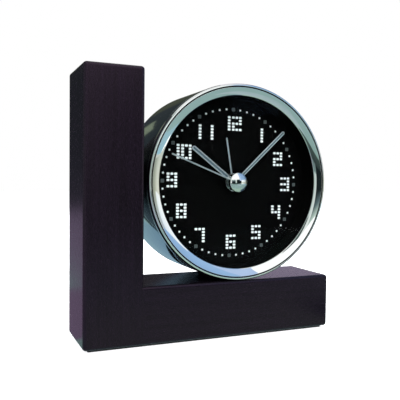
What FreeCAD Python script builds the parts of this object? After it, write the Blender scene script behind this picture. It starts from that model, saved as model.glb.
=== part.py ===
import FreeCAD, Part
import math
import os

# A desk alarm clock: a round steel clock case, resting in the corner of an L-shaped
# wooden stand. Millimetres, +Z up, the dial faces -Y.
# The origin is on the table, in the middle of the stand's footprint.
# Inside the case everything is drawn about the dial's axis: x to the right as the dial is
# read, z up, y backwards, and y = 0 in the middle of the stand's depth.

Vector = FreeCAD.Vector
TURN = 2 * math.pi

# ---------------------------------------------------------------- stand
stand_width = 121.4
stand_depth = 33.0
upright_height = 120.0
upright_thickness = 26.2
base_thickness = 25.5
stand_edge_round = 1.5
felt_thickness = 1.0
felt_inset = 2.5
dowel_radius = 4.0
dowel_length = 40.0
dowel_spacing = 16.0

# ---------------------------------------------------------------- case
case_radius = 45.4
case_wall = 0.8
case_depth = 37.1
case_lip_width = 2.0
case_back_round = 0.6
case_to_upright = 1.6
slide_fit = 0.05
loose_fit = 0.3
running_fit = 0.04
thread_fit = 0.02

# ---------------------------------------------------------------- bezel and lens
bezel_front_y = -16.8
bezel_depth = 3.3
bezel_lip_width = 1.5
bezel_lip_fall = 20.0
bezel_groove_width = 0.15
bezel_groove_depth = 0.5
bezel_flange_width = 3.5
bezel_flange_slope = 1.5
bezel_flange_dish = 0.12
bezel_flange_setback = 0.2
bezel_inner_edge = 0.25
bezel_skirt_depth = 4.5
bezel_skirt_wall = 2.35
lens_thickness = 1.3
lens_seat_width = 1.6
gasket_thickness = 0.5
gasket_width = 1.0

# ---------------------------------------------------------------- dial
dial_face_y = -4.3
dial_thickness = 0.5
dial_ring_wall = 1.6
dial_ring_foot = 1.0
print_thickness = 0.06
minute_dot_radius = 34.6
minute_dot_size = 0.95
hour_mark_size = 1.7
numeral_dot_width = 1.45
numeral_dot_height = 1.05
numeral_pitch_x = 1.88
numeral_pitch_z = 1.44

# ---------------------------------------------------------------- hands
alarm_hand_y = -5.7
hour_hand_y = -6.9
minute_hand_y = -8.4
second_hand_y = -10.1
hand_thickness = 0.3
minute_length = 36.1
minute_width = 1.7
minute_angle = 46.6
hour_length = 26.9
hour_width = 2.1
hour_angle = 307.3
second_length = 35.0
second_width = 0.7
second_angle = 291.2
alarm_length = 21.4
alarm_width = 0.75
alarm_angle = 350.5
hour_boss_radius = 4.3
small_boss_radius = 3.0
cap_radius = 4.55
cap_height = 3.05
cap_rim_height = 2.2

# ---------------------------------------------------------------- arbors and pipes at the centre
second_arbor_radius = 0.45
cannon_wall = 0.5
hour_pipe_wall = 0.5
alarm_pipe_wall = 0.5
bush_wall = 0.8
bush_stand_out = 0.6
pipe_stand_out = 0.25

# ---------------------------------------------------------------- movement
movement_size = 56.0
movement_wall = 1.4
front_plate_thickness = 1.5
movement_depth = 16.8
bay_wall = 1.0
plate_thickness = 1.0
middle_plate_y = 2.4
rear_bridge_y = 10.2
board_y = 12.3
board_thickness = 0.8
board_bottom_z = 15.0
crystal_radius = 1.0
crystal_length = 6.0
crystal_x = -8.0
crystal_z = 22.5
chip_width = 5.0
chip_height = 3.0
chip_thickness = 1.2
pivot_radius = 0.4
pivot_depth = 0.7
post_radius = 1.2
post_gap = 1.3
lower_post_angle = 35.0
left_post_angle = 148.0
right_post_angle = 12.0
bridge_margin = 0.2

# ---------------------------------------------------------------- wheels
wheel_thickness = 0.7
pinion_thickness = 1.0
alarm_plane_y = -2.0
hour_plane_y = -0.7
minute_plane_y = 0.6
centre_plane_y = 3.8
third_plane_y = 5.2
second_plane_y = 7.1
intermediate_plane_y = 8.5

tooth_root_share = 0.5
tooth_tip_share = 0.2
tooth_depth_below = 1.0
tooth_height_above = 0.75
pinion_overhang = 0.1

motion_module = 0.4
cannon_teeth = 12
minute_wheel_teeth = 36
minute_pinion_teeth = 10
hour_wheel_teeth = 40
time_pinion_teeth = 12
alarm_wheel_teeth = 36
alarm_idler_teeth = 20
alarm_pinion_teeth = 20

train_module = 0.25
centre_wheel_teeth = 64
third_pinion_teeth = 8
third_wheel_teeth = 60
second_pinion_teeth = 8
second_wheel_teeth = 32
intermediate_pinion_teeth = 8
intermediate_wheel_teeth = 60
rotor_pinion_teeth = 8
train_spread = 45.0
rotor_direction = 15.0

rotor_radius = 3.0
rotor_thickness = 2.0
rotor_gap = 0.5
stator_ring_wall = 2.3
stator_thickness = 1.0
coil_radius = 3.0
coil_length = 14.0
coil_height = 20.5
coil_end_gap = 1.75
coil_offset = 1.25
core_width = 2.0
stator_arm_width = 2.5
stator_yoke_width = 3.0
stator_yoke_lift = 1.0

contact_blade_width = 2.0
contact_blade_tip = 5.6
contact_blade_foot = 20.0
contact_blade_thickness = 0.2
contact_blade_lift = 0.3

# ---------------------------------------------------------------- battery
battery_radius = 7.1
battery_length = 49.2
battery_nub_radius = 2.75
battery_nub_height = 1.3
battery_below_axis = 18.5
battery_edge_round = 0.5
contact_thickness = 0.4
contact_gap = 0.3
contact_leaf_size = 9.0
contact_dimple_radius = 1.6
contact_tail_width = 3.0
contact_tail_top_z = 20.0

# ---------------------------------------------------------------- setting knobs and switch
stem_radius = 1.2
knob_radius = 6.0
knob_height = 4.4
knob_flutes = 20
knob_flute_radius = 0.5
knob_flute_setback = 0.2
knob_edge_round = 0.5
switch_x = 8.0
switch_z = 19.0
switch_travel = 3.0
switch_width = 3.0
switch_height = 2.0
switch_proud = 2.2
switch_shoe_overlap = 0.9

# ---------------------------------------------------------------- mounting ring and back cover
mount_thickness = 2.0
ear_size = 4.6
ear_thickness = 2.0
ear_height = 20.0
boss_circle_radius = 36.0
boss_radius = 3.2
cover_front_y = 15.6
cover_thickness = 2.4
cover_rim_wall = 1.5
cover_flange_width = 1.4
cover_flange_thickness = 0.8
cover_screw_grip = 6.0
pilot_spare = 2.0
door_gap = 0.3
door_side_margin = 0.6
door_thickness = 1.6
grip_count = 5
grip_length = 12.0
grip_pitch = 1.2
grip_depth = 0.4
hinge_radius = 1.05
hinge_pin_radius = 0.6
hinge_pin_length = 1.4
buzzer_radius = 6.0
buzzer_height = 6.0
buzzer_x = -17.0
buzzer_z = 19.7
sound_hole_radius = 0.8
sound_hole_circle_radius = 2.8
sound_hole_count = 6

# ---------------------------------------------------------------- fasteners
case_screw_radius = 2.0
case_screw_spacing = 9.0
case_screw_middle_y = 5.6
case_screw_head_radius = 3.6
case_screw_head_height = 2.6
case_screw_socket_radius = 1.2
case_screw_socket_depth = 1.6
case_washer_radius = 4.2
case_washer_thickness = 0.8
counterbore_radius = 4.45
counterbore_depth = 10.0
nut_plate_width = 14.0
nut_plate_length = 14.4
nut_plate_rise = 3.2
saddle_width = 18.0
saddle_length = 18.0
saddle_recess = 1.0
small_screw_radius = 1.0
small_screw_head_radius = 1.9
small_screw_head_height = 1.2
small_screw_slot = 0.5

# ---------------------------------------------------------------- places worked out from the sizes
stand_top = felt_thickness + base_thickness
axis_x = upright_thickness - stand_width / 2 + case_to_upright + case_radius
axis_z = stand_top + case_radius
case_bore = case_radius - case_wall
case_front_y = bezel_front_y + bezel_depth
case_back_y = case_front_y + case_depth
bezel_window = case_radius - bezel_lip_width - bezel_groove_width - bezel_flange_width - bezel_inner_edge
lens_front_y = bezel_front_y + bezel_flange_setback + bezel_flange_slope + bezel_inner_edge
lens_radius = bezel_window + lens_seat_width
lens_back_y = lens_front_y + lens_thickness
gasket_back_y = lens_back_y + gasket_thickness
dial_ring_bore = bezel_window + bezel_inner_edge
dial_back_y = dial_face_y + dial_thickness
mount_back_y = dial_back_y + mount_thickness
front_plate_back_y = dial_back_y + front_plate_thickness
movement_back_y = front_plate_back_y + movement_depth
movement_half = movement_size / 2
cavity_half = movement_half - movement_wall
rear_wall_y = movement_back_y - movement_wall
bay_top_z = battery_radius + loose_fit * 2 - battery_below_axis
cover_back_y = cover_front_y + cover_thickness
cover_radius = case_bore - case_lip_width - loose_fit
battery_y = rear_wall_y - battery_radius + contact_gap
middle_plate_back_y = middle_plate_y + plate_thickness
rear_bridge_back_y = rear_bridge_y + plate_thickness

cannon_bore = second_arbor_radius + running_fit
cannon_radius = cannon_bore + cannon_wall
hour_bore = cannon_radius + running_fit
hour_pipe_radius = hour_bore + hour_pipe_wall
alarm_bore = hour_pipe_radius + running_fit
alarm_pipe_radius = alarm_bore + alarm_pipe_wall
bush_bore = alarm_pipe_radius + running_fit
bush_radius = bush_bore + bush_wall

minute_distance = motion_module * (cannon_teeth + minute_wheel_teeth) / 2
hour_module = 2 * minute_distance / (minute_pinion_teeth + hour_wheel_teeth)
time_distance = motion_module * (minute_wheel_teeth + time_pinion_teeth) / 2
idler_distance = motion_module * (alarm_wheel_teeth + alarm_idler_teeth) / 2
alarm_distance = motion_module * (alarm_idler_teeth + alarm_pinion_teeth) / 2
third_distance = train_module * (centre_wheel_teeth + third_pinion_teeth) / 2
third_module = 2 * third_distance / (third_wheel_teeth + second_pinion_teeth)
second_module = 2 * third_distance / (second_wheel_teeth + intermediate_pinion_teeth)
rotor_distance = train_module * (intermediate_wheel_teeth + rotor_pinion_teeth) / 2


def polar(radius, degrees):
    """A point in the dial's plane, measured from +X towards +Z."""
    angle = math.radians(degrees)
    return radius * math.cos(angle), radius * math.sin(angle)


minute_x = -minute_distance
time_x = minute_x - time_distance
idler_x = idler_distance
alarm_x = idler_x + alarm_distance
third_x, third_z = polar(third_distance, 180 - train_spread)
intermediate_x, intermediate_z = polar(third_distance, train_spread)
rotor_x = intermediate_x + polar(rotor_distance, rotor_direction)[0]
rotor_z = intermediate_z + polar(rotor_distance, rotor_direction)[1]
stator_y = second_plane_y - stator_thickness
rotor_y = stator_y - rotor_thickness / 4
hinge_z = bay_top_z - 2 * (battery_radius + loose_fit) - hinge_radius - door_gap - bay_wall
hinge_y = cover_back_y - hinge_radius


# ---------------------------------------------------------------- shapes
def block(x0, x1, y0, y1, z0, z1):
    return Part.makeBox(x1 - x0, y1 - y0, z1 - z0, Vector(x0, y0, z0))


def disc(radius, y0, y1, x=0.0, z=0.0):
    """A round bar along Y, from y0 to y1."""
    return Part.makeCylinder(radius, y1 - y0, Vector(x, y0, z), Vector(0, 1, 0))


def tube(outer, bore, y0, y1, x=0.0, z=0.0):
    return disc(outer, y0, y1, x, z).cut(disc(bore, y0, y1, x, z))


def join(shapes):
    """One solid from touching or overlapping ones."""
    whole = shapes[0]
    if len(shapes) > 1:
        whole = whole.multiFuse(shapes[1:])
    return whole.removeSplitter()


def cut_all(shape, tools):
    return shape.cut(Part.makeCompound(tools))


def plate(points, y0, y1):
    """A flat plate from its outline in x and z."""
    outline = [Vector(x, y0, z) for x, z in points]
    face = Part.Face(Part.makePolygon(outline + outline[:1]))
    return face.extrude(Vector(0, y1 - y0, 0))


def turned(edges):
    """A solid of revolution about Y from a closed outline drawn in radius (x) and y."""
    return Part.Face(Part.Wire(edges)).revolve(Vector(0, 0, 0), Vector(0, 1, 0), 360)


def straight(points):
    """The edges that join the points in turn."""
    ends = [Vector(r, y, 0) for r, y in points]
    return [Part.makeLine(a, b) for a, b in zip(ends, ends[1:])]


def arc(start, middle, end):
    return Part.Arc(*[Vector(r, y, 0) for r, y in (start, middle, end)]).toShape()


def gear(teeth, module, y0, y1, middle, phase):
    """A spur gear with straight-sided teeth and easy backlash. One tooth points at phase."""
    x, z = middle
    pitch = TURN / teeth
    root = teeth * module / 2 - tooth_depth_below * module
    tip = tip_radius(teeth, module)
    at_root = tooth_root_share / 2
    at_tip = tooth_tip_share / 2
    tooth = ((root, -at_root), (tip, -at_tip), (tip, at_tip), (root, at_root))
    points = []
    for i in range(teeth):
        for radius, share in tooth:
            angle = phase + (i + share) * pitch
            points.append((x + radius * math.cos(angle), z + radius * math.sin(angle)))
    return plate(points, y0, y1)


def tip_radius(teeth, module):
    return teeth * module / 2 + tooth_height_above * module


def mesh_phase(teeth, lead_teeth, lead_phase, direction):
    """The phase at which a gear meshes with its lead, which sees it in the given direction."""
    return direction + math.pi + math.pi / teeth - (lead_phase - direction) * lead_teeth / teeth


def screw(seat_y, tip_y, x, z):
    """A small slotted screw that goes in forwards, towards -Y, down to its seat."""
    top_y = seat_y + small_screw_head_height
    reach = small_screw_head_radius
    shank = disc(small_screw_radius, tip_y, seat_y, x, z)
    head = disc(reach, seat_y, top_y, x, z)
    half_slot = small_screw_slot / 2
    slot_floor = seat_y + small_screw_head_height / 2
    slot = block(x - reach, x + reach, slot_floor, top_y, z - half_slot, z + half_slot)
    return join([shank, head]).cut(slot)


def save(name, *shapes):
    """Writes a node, moved from the dial's axis to its place on the stand."""
    whole = Part.makeCompound(list(shapes)) if len(shapes) > 1 else shapes[0].copy()
    whole.translate(Vector(axis_x, 0, axis_z))
    write(name, whole)


def write(name, shape):
    shape.exportStep(os.path.join("parts", name + ".step"))
    print(f"{name}: {len(shape.Solids)} solid, {shape.Volume:.1f} mm3, valid {shape.isValid()}")


# ---------------------------------------------------------------- the stand
def stand_outline():
    """The whole L with its outer edges rounded, before it is parted at the joint."""
    left = -stand_width / 2
    inner = left + upright_thickness
    top = felt_thickness + upright_height
    points = [
        (left, felt_thickness),
        (-left, felt_thickness),
        (-left, stand_top),
        (inner, stand_top),
        (inner, top),
        (left, top),
    ]
    whole = plate(points, -stand_depth / 2, stand_depth / 2)
    corner = Vector(inner, 0, stand_top)
    rounded = []
    for edge in whole.Edges:
        middle = edge.CenterOfMass
        along_corner = abs(middle.x - corner.x) < 0.01 and abs(middle.z - corner.z) < 0.01
        if not along_corner:
            rounded.append(edge)
    return whole.makeFillet(stand_edge_round, rounded)


def make_stand():
    whole = stand_outline()
    left = -stand_width / 2
    joint_x = left + upright_thickness
    above = felt_thickness + upright_height
    depth = stand_depth
    screws_y = screw_places_y()
    dowel_z = felt_thickness + base_thickness / 2
    dowels = []
    for side in (-0.5, 0.5):
        start = Vector(joint_x - dowel_length / 2, side * dowel_spacing, dowel_z)
        dowels.append(Part.makeCylinder(dowel_radius, dowel_length, start, Vector(1, 0, 0)))
    upright = cut_all(whole.common(block(left, joint_x, -depth, depth, 0, above)), dowels)
    base = cut_all(whole.common(block(joint_x, -left, -depth, depth, 0, above)), dowels)
    floor = felt_thickness
    holes = []
    for y in screws_y:
        spot = Vector(axis_x, y, floor)
        holes.append(Part.makeCylinder(counterbore_radius, counterbore_depth, spot))
        holes.append(Part.makeCylinder(case_screw_radius + loose_fit, base_thickness, spot))
    recess_y = case_screw_middle_y - saddle_length / 2
    holes.append(
        block(
            axis_x - saddle_width / 2,
            axis_x + saddle_width / 2,
            recess_y,
            recess_y + saddle_length,
            stand_top - saddle_recess,
            stand_top + case_radius,
        )
    )
    write("stand_upright", upright)
    write("stand_base", cut_all(base, holes))
    write("stand_dowels", Part.makeCompound(dowels))
    felt_x = stand_width / 2 - felt_inset
    felt_y = stand_depth / 2 - felt_inset
    write("base_felt", block(-felt_x, felt_x, -felt_y, felt_y, 0, felt_thickness))


def screw_places_y():
    half = case_screw_spacing / 2
    return (case_screw_middle_y - half, case_screw_middle_y + half)


def make_case_fixing():
    """What holds the case down: two screws from below, a rubber saddle and a nut plate inside."""
    saddle_y = case_screw_middle_y - saddle_length / 2
    x0 = axis_x - saddle_width / 2
    saddle_top = axis_z - math.sqrt(case_radius**2 - (saddle_width / 2) ** 2)
    saddle_floor = stand_top - saddle_recess
    saddle = block(x0, x0 + saddle_width, saddle_y, saddle_y + saddle_length, saddle_floor, saddle_top)
    around = disc(case_radius, -stand_depth, stand_depth, axis_x, axis_z)
    inside = disc(case_bore, -stand_depth, stand_depth, axis_x, axis_z)
    plate_y = case_screw_middle_y - nut_plate_length / 2
    half = nut_plate_width / 2
    nut_top = stand_top + case_wall + nut_plate_rise
    nut_plate = block(
        axis_x - half, axis_x + half, plate_y, plate_y + nut_plate_length, stand_top, nut_top
    ).common(inside)
    seat = felt_thickness + counterbore_depth
    screws = []
    washers = []
    clear_holes = []
    threads = []
    for y in screw_places_y():
        spot = Vector(axis_x, y, seat - case_washer_thickness - case_screw_head_height)
        head = Part.makeCylinder(case_screw_head_radius, case_screw_head_height, spot)
        shank = Part.makeCylinder(case_screw_radius, nut_top - spot.z, spot)
        recess = Part.makeCylinder(case_screw_socket_radius, case_screw_socket_depth, spot)
        screws.append(join([head, shank]).cut(recess))
        washer_spot = Vector(axis_x, y, seat - case_washer_thickness)
        washer = Part.makeCylinder(case_washer_radius, case_washer_thickness, washer_spot)
        bore = Part.makeCylinder(case_screw_radius + loose_fit, case_washer_thickness, washer_spot)
        washers.append(washer.cut(bore))
        column = Vector(axis_x, y, 0)
        clear_holes.append(Part.makeCylinder(case_screw_radius + loose_fit, axis_z, column))
        threads.append(Part.makeCylinder(case_screw_radius + thread_fit, axis_z, column))
    write("saddle_pad", cut_all(saddle.cut(around), clear_holes))
    write("case_nut_plate", cut_all(nut_plate, threads))
    write("case_screws", Part.makeCompound(screws))
    write("case_washers", Part.makeCompound(washers))
    return clear_holes


# ---------------------------------------------------------------- the case, its bezel and its lens
def make_case(clear_holes):
    lip_bore = case_bore - case_lip_width
    shell = disc(case_radius, case_front_y, case_back_y)
    back_edge = [e for e in shell.Edges if abs(e.CenterOfMass.y - case_back_y) < 0.01]
    shell = shell.makeFillet(case_back_round, back_edge)
    shell = shell.cut(disc(case_bore, case_front_y, case_back_y - case_wall))
    shell = shell.cut(disc(lip_bore, case_front_y, case_back_y))
    below = [hole.copy() for hole in clear_holes]
    for hole in below:
        hole.translate(Vector(-axis_x, 0, -axis_z))
    save("drum_case", cut_all(shell, below))


def make_bezel():
    """A turned ring: a rounded lip, a fine groove, a dished flange and a skirt inside the case."""
    lip_round = bezel_lip_width / 2
    lip_middle = case_radius - lip_round
    lip_y = bezel_front_y + lip_round
    groove_r = case_radius - bezel_lip_width
    fall = math.radians(bezel_lip_fall)
    lip_inner = (lip_middle - lip_round * math.cos(fall), lip_y - lip_round * math.sin(fall))
    groove = (groove_r, bezel_front_y + bezel_groove_depth)
    flange_outer = (groove_r - bezel_groove_width, bezel_front_y + bezel_flange_setback)
    flange_inner = (flange_outer[0] - bezel_flange_width, flange_outer[1] + bezel_flange_slope)
    dish = (
        (flange_outer[0] + flange_inner[0]) / 2,
        (flange_outer[1] + flange_inner[1]) / 2 + bezel_flange_dish,
    )
    skirt_outer = case_bore - slide_fit
    skirt_inner = skirt_outer - bezel_skirt_wall
    pocket = lens_radius + slide_fit
    skirt_back = case_front_y + bezel_skirt_depth
    edges = [
        arc((case_radius, lip_y), (lip_middle, bezel_front_y), lip_inner),
        *straight([lip_inner, groove, flange_outer]),
        arc(flange_outer, dish, flange_inner),
        *straight(
            [
                flange_inner,
                (bezel_window, lens_front_y),
                (pocket, lens_front_y),
                (pocket, lens_back_y),
                (skirt_inner, lens_back_y),
                (skirt_inner, skirt_back),
                (skirt_outer, skirt_back),
                (skirt_outer, case_front_y),
                (case_radius, case_front_y),
                (case_radius, lip_y),
            ]
        ),
    ]
    save("bezel", turned(edges))


def make_lens():
    save("lens", disc(lens_radius, lens_front_y, lens_back_y))
    save("lens_gasket", tube(lens_radius, lens_radius - gasket_width, lens_back_y, gasket_back_y))


# ---------------------------------------------------------------- the dial
GLYPHS = {
    "0": ("###", "# #", "# #", "# #", "###"),
    "1": ("#", "#", "#", "#", "#"),
    "2": ("###", "  #", "###", "#  ", "###"),
    "3": ("###", "  #", "###", "  #", "###"),
    "4": ("# #", "# #", "###", "  #", "  #"),
    "5": ("###", "#  ", "###", "  #", "###"),
    "6": ("###", "#  ", "###", "# #", "###"),
    "7": ("###", "  #", "  #", "  #", "  #"),
    "8": ("###", "# #", "###", "# #", "###"),
    "9": ("###", "# #", "###", "  #", "###"),
}

# Each digit and where its middle stands on the dial. The numerals are set by eye, not on a circle.
NUMERALS = (
    ("1", -2.6, 28.7),
    ("2", 1.45, 28.7),
    ("1", 15.4, 24.2),
    ("2", 24.8, 12.9),
    ("3", 29.4, 0.0),
    ("4", 24.3, -14.4),
    ("5", 13.3, -24.4),
    ("6", 0.0, -28.7),
    ("7", -15.7, -25.2),
    ("8", -24.8, -14.1),
    ("9", -29.7, 0.0),
    ("1", -27.4, 13.2),
    ("0", -23.3, 13.2),
    ("1", -17.2, 23.2),
    ("1", -11.3, 23.2),
)


def printed(width, height, x, z):
    """A flat printed mark on the dial's face."""
    front = dial_face_y - print_thickness
    return block(x - width / 2, x + width / 2, front, dial_face_y, z - height / 2, z + height / 2)


def numeral_dots():
    dots = []
    for digit, x, z in NUMERALS:
        rows = GLYPHS[digit]
        for row, cells in enumerate(rows):
            for column, cell in enumerate(cells):
                if cell == "#":
                    dot_x = x + (column - (len(cells) - 1) / 2) * numeral_pitch_x
                    dot_z = z + ((len(rows) - 1) / 2 - row) * numeral_pitch_z
                    dots.append(printed(numeral_dot_width, numeral_dot_height, dot_x, dot_z))
    return dots


def minute_marks():
    """Dots at the minutes and larger squares at the hours."""
    marks = []
    for minute in range(60):
        x, z = polar(minute_dot_radius, 90 - 6 * minute)
        size = minute_dot_size if minute % 5 else hour_mark_size
        marks.append(printed(size, size, x, z))
    return marks


def make_dial():
    outer = case_bore - loose_fit
    save("dial", tube(outer, bush_radius + slide_fit, dial_face_y, dial_back_y))
    save("dial_print", *numeral_dots(), *minute_marks())
    wall = dial_ring_bore + dial_ring_wall
    ring = tube(wall, dial_ring_bore, gasket_back_y, dial_face_y)
    foot = tube(outer, dial_ring_bore, dial_face_y - dial_ring_foot, dial_face_y)
    save("dial_ring", join([ring, foot]))


# ---------------------------------------------------------------- the hands
def baton(length, width, boss, bore, y, degrees):
    """A parallel hand with a round tip and a round boss, turned clockwise from 12."""
    y0 = y - hand_thickness / 2
    y1 = y + hand_thickness / 2
    tip_z = length - width / 2
    parts = [
        block(-width / 2, width / 2, y0, y1, 0, tip_z),
        disc(width / 2, y0, y1, 0, tip_z),
        disc(boss, y0, y1),
    ]
    hand = join(parts).cut(disc(bore, y0, y1))
    hand.rotate(Vector(0, 0, 0), Vector(0, 1, 0), degrees)
    return hand


def make_hands():
    boss = small_boss_radius
    alarm = baton(alarm_length, alarm_width, boss, alarm_pipe_radius, alarm_hand_y, alarm_angle)
    hour = baton(hour_length, hour_width, hour_boss_radius, hour_pipe_radius, hour_hand_y, hour_angle)
    minute = baton(minute_length, minute_width, boss, cannon_radius, minute_hand_y, minute_angle)
    second = baton(second_length, second_width, boss, second_arbor_radius, second_hand_y, second_angle)
    save("alarm_hand", alarm)
    save("hour_hand", hour)
    save("minute_hand", minute)
    save("second_hand", second)
    make_cap()


def make_cap():
    """The domed cap on the second hand: a low dome over a short straight rim."""
    base_y = second_hand_y - hand_thickness / 2
    top_y = base_y - cap_height
    dome_height = cap_height - cap_rim_height
    dome_radius = (cap_radius**2 + dome_height**2) / (2 * dome_height)
    dome = Part.makeSphere(dome_radius, Vector(0, top_y + dome_radius, 0), Vector(0, 1, 0))
    cap = disc(cap_radius, top_y, base_y).common(dome)
    bore = disc(second_arbor_radius, base_y - cap_height / 2, base_y)
    save("centre_cap", cap.cut(bore))


# ---------------------------------------------------------------- motion work: minute, hour and alarm
def make_motion_work():
    """The wheels between the front plate and the middle plate that carry the minute and hour hands."""
    to_minute = math.pi
    y0 = minute_plane_y
    y1 = minute_plane_y + wheel_thickness
    axis = (0, 0)
    minute_axis = (minute_x, 0)
    pinion_end = minute_plane_y + pinion_thickness
    pipe_end = centre_plane_y + wheel_thickness
    cannon_parts = [
        gear(cannon_teeth, motion_module, y0, pinion_end, axis, to_minute),
        disc(cannon_radius, minute_hand_y - pipe_stand_out, pipe_end),
    ]
    save("cannon_pinion", through_bore(join(cannon_parts), cannon_bore))

    minute_phase = mesh_phase(minute_wheel_teeth, cannon_teeth, to_minute, to_minute)
    minute_parts = [
        gear(minute_wheel_teeth, motion_module, y0, y1, minute_axis, minute_phase),
        gear(minute_pinion_teeth, hour_module, hour_plane_y - pinion_overhang, y0, minute_axis, 0),
        front_arbor(minute_x),
    ]
    save("minute_wheel", join(minute_parts))

    hour_phase = mesh_phase(hour_wheel_teeth, minute_pinion_teeth, 0, 0)
    hour_end = hour_plane_y + wheel_thickness
    hour_parts = [
        gear(hour_wheel_teeth, hour_module, hour_plane_y, hour_end, axis, hour_phase),
        disc(hour_pipe_radius, hour_hand_y - pipe_stand_out, hour_end),
    ]
    save("hour_wheel", through_bore(join(hour_parts), hour_bore))

    time_phase = mesh_phase(time_pinion_teeth, minute_wheel_teeth, minute_phase, to_minute)
    time_pinion = gear(time_pinion_teeth, motion_module, y0, y1, (time_x, 0), time_phase)
    save("time_set_stem", join([time_pinion, setting_stem(time_x)]))


def make_alarm_work():
    """The alarm hand's wheel, and the idler and stem that turn it from the alarm knob."""
    y0 = alarm_plane_y
    y1 = alarm_plane_y + wheel_thickness
    alarm_parts = [
        gear(alarm_wheel_teeth, motion_module, y0, y1, (0, 0), 0),
        disc(alarm_pipe_radius, alarm_hand_y - pipe_stand_out, y1),
    ]
    save("alarm_wheel", through_bore(join(alarm_parts), alarm_bore))

    idler_phase = mesh_phase(alarm_idler_teeth, alarm_wheel_teeth, 0, 0)
    idler = gear(alarm_idler_teeth, motion_module, y0, y1, (idler_x, 0), idler_phase)
    save("alarm_idler", join([idler, front_arbor(idler_x)]))

    stem_phase = mesh_phase(alarm_pinion_teeth, alarm_idler_teeth, idler_phase, 0)
    pinion = gear(alarm_pinion_teeth, motion_module, y0, y1, (alarm_x, 0), stem_phase)
    save("alarm_set_stem", join([pinion, setting_stem(alarm_x)]))


def through_bore(shape, radius):
    return shape.cut(disc(radius, bezel_front_y, rear_bridge_y))


def front_arbor(x):
    """A pivot between the front plate and the middle plate."""
    return disc(pivot_radius, front_plate_back_y - pivot_depth, middle_plate_back_y, x, 0)


def setting_stem(x):
    return disc(stem_radius, front_plate_back_y - pivot_depth, cover_back_y + knob_height, x, 0)


# ---------------------------------------------------------------- going train: rotor to centre wheel
def rear_arbor(middle):
    """A pivot between the middle plate and the rear bridge."""
    return disc(pivot_radius, middle_plate_y, rear_bridge_back_y, *middle)


def make_going_train():
    """The wheels behind the middle plate. Each pinion sits in front of or behind its own wheel."""
    third_axis = (third_x, third_z)
    intermediate_axis = (intermediate_x, intermediate_z)
    rotor_axis = (rotor_x, rotor_z)
    to_third = math.atan2(third_z, third_x)
    from_third = to_third + math.pi
    to_intermediate = math.atan2(intermediate_z, intermediate_x)
    to_rotor = math.radians(rotor_direction)

    centre_end = centre_plane_y + wheel_thickness
    centre = gear(centre_wheel_teeth, train_module, centre_plane_y, centre_end, (0, 0), to_third)
    save("centre_wheel", through_bore(centre, cannon_radius + running_fit))

    phase = mesh_phase(third_pinion_teeth, centre_wheel_teeth, to_third, to_third)
    y0 = centre_plane_y - pinion_overhang
    y1 = third_plane_y
    third_parts = [
        gear(third_pinion_teeth, train_module, y0, y1, third_axis, phase),
        gear(third_wheel_teeth, third_module, y1, y1 + wheel_thickness, third_axis, from_third),
        rear_arbor(third_axis),
    ]
    save("third_wheel", join(third_parts))

    phase = mesh_phase(second_pinion_teeth, third_wheel_teeth, from_third, from_third)
    y0 = third_plane_y - pinion_overhang
    y1 = second_plane_y
    second_parts = [
        gear(second_pinion_teeth, third_module, y0, third_plane_y + pinion_thickness, (0, 0), phase),
        gear(second_wheel_teeth, second_module, y1, y1 + wheel_thickness, (0, 0), to_intermediate),
        disc(second_arbor_radius, second_hand_y - cap_height / 2, rear_bridge_back_y),
    ]
    save("second_wheel", join(second_parts))

    phase = mesh_phase(intermediate_pinion_teeth, second_wheel_teeth, to_intermediate, to_intermediate)
    y0 = second_plane_y - pinion_overhang
    y1 = intermediate_plane_y
    intermediate_parts = [
        gear(intermediate_pinion_teeth, second_module, y0, y1, intermediate_axis, phase),
        gear(intermediate_wheel_teeth, train_module, y1, y1 + wheel_thickness, intermediate_axis, to_rotor),
        rear_arbor(intermediate_axis),
    ]
    save("intermediate_wheel", join(intermediate_parts))

    phase = mesh_phase(rotor_pinion_teeth, intermediate_wheel_teeth, to_rotor, to_rotor)
    magnet_end = rotor_y + rotor_thickness
    pinion_end = intermediate_plane_y + pinion_thickness
    rotor_parts = [
        disc(rotor_radius, rotor_y, magnet_end, rotor_x, rotor_z),
        gear(rotor_pinion_teeth, train_module, magnet_end, pinion_end, rotor_axis, phase),
        rear_arbor(rotor_axis),
    ]
    save("rotor", join(rotor_parts))


def make_motor():
    """The stator round the rotor, the coil's core and its winding."""
    ring = rotor_radius + rotor_gap + stator_ring_wall
    core_half = coil_length / 2 + coil_end_gap
    left = rotor_x - core_half - coil_offset
    right = rotor_x + core_half - coil_offset
    arm = stator_arm_width
    y0 = stator_y
    y1 = stator_y + stator_thickness
    yoke_z = rotor_z + stator_yoke_lift
    top_z = coil_height + core_width / 2
    parts = [
        disc(ring, y0, y1, rotor_x, rotor_z),
        block(left - arm, right + arm, y0, y1, yoke_z, yoke_z + stator_yoke_width),
        block(left - arm, left, y0, y1, yoke_z, top_z),
        block(right, right + arm, y0, y1, yoke_z, top_z),
    ]
    stator = join(parts).cut(disc(rotor_radius + rotor_gap, y0, y1, rotor_x, rotor_z))
    core = block(left, right, y0, y1, coil_height - core_width / 2, top_z)
    save("stator", stator)
    save("coil_core", core)
    start = Vector(left + coil_end_gap, (y0 + y1) / 2, coil_height)
    winding = Part.makeCylinder(coil_radius, coil_length, start, Vector(1, 0, 0))
    save("coil_winding", winding.cut(core))


def make_alarm_contact():
    """The spring blade that feels the hour wheel and closes the alarm's circuit."""
    y0 = hour_plane_y + wheel_thickness + contact_blade_lift
    y1 = y0 + contact_blade_thickness
    half = contact_blade_width / 2
    blade = block(contact_blade_tip, contact_blade_foot, y0, y1, -half, half)
    foot = disc(post_radius, y0, middle_plate_y, contact_blade_foot - post_radius, 0)
    blade = join([blade, foot])
    blade.rotate(Vector(0, 0, 0), Vector(0, -1, 0), train_spread)
    save("alarm_contact", blade)


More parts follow.
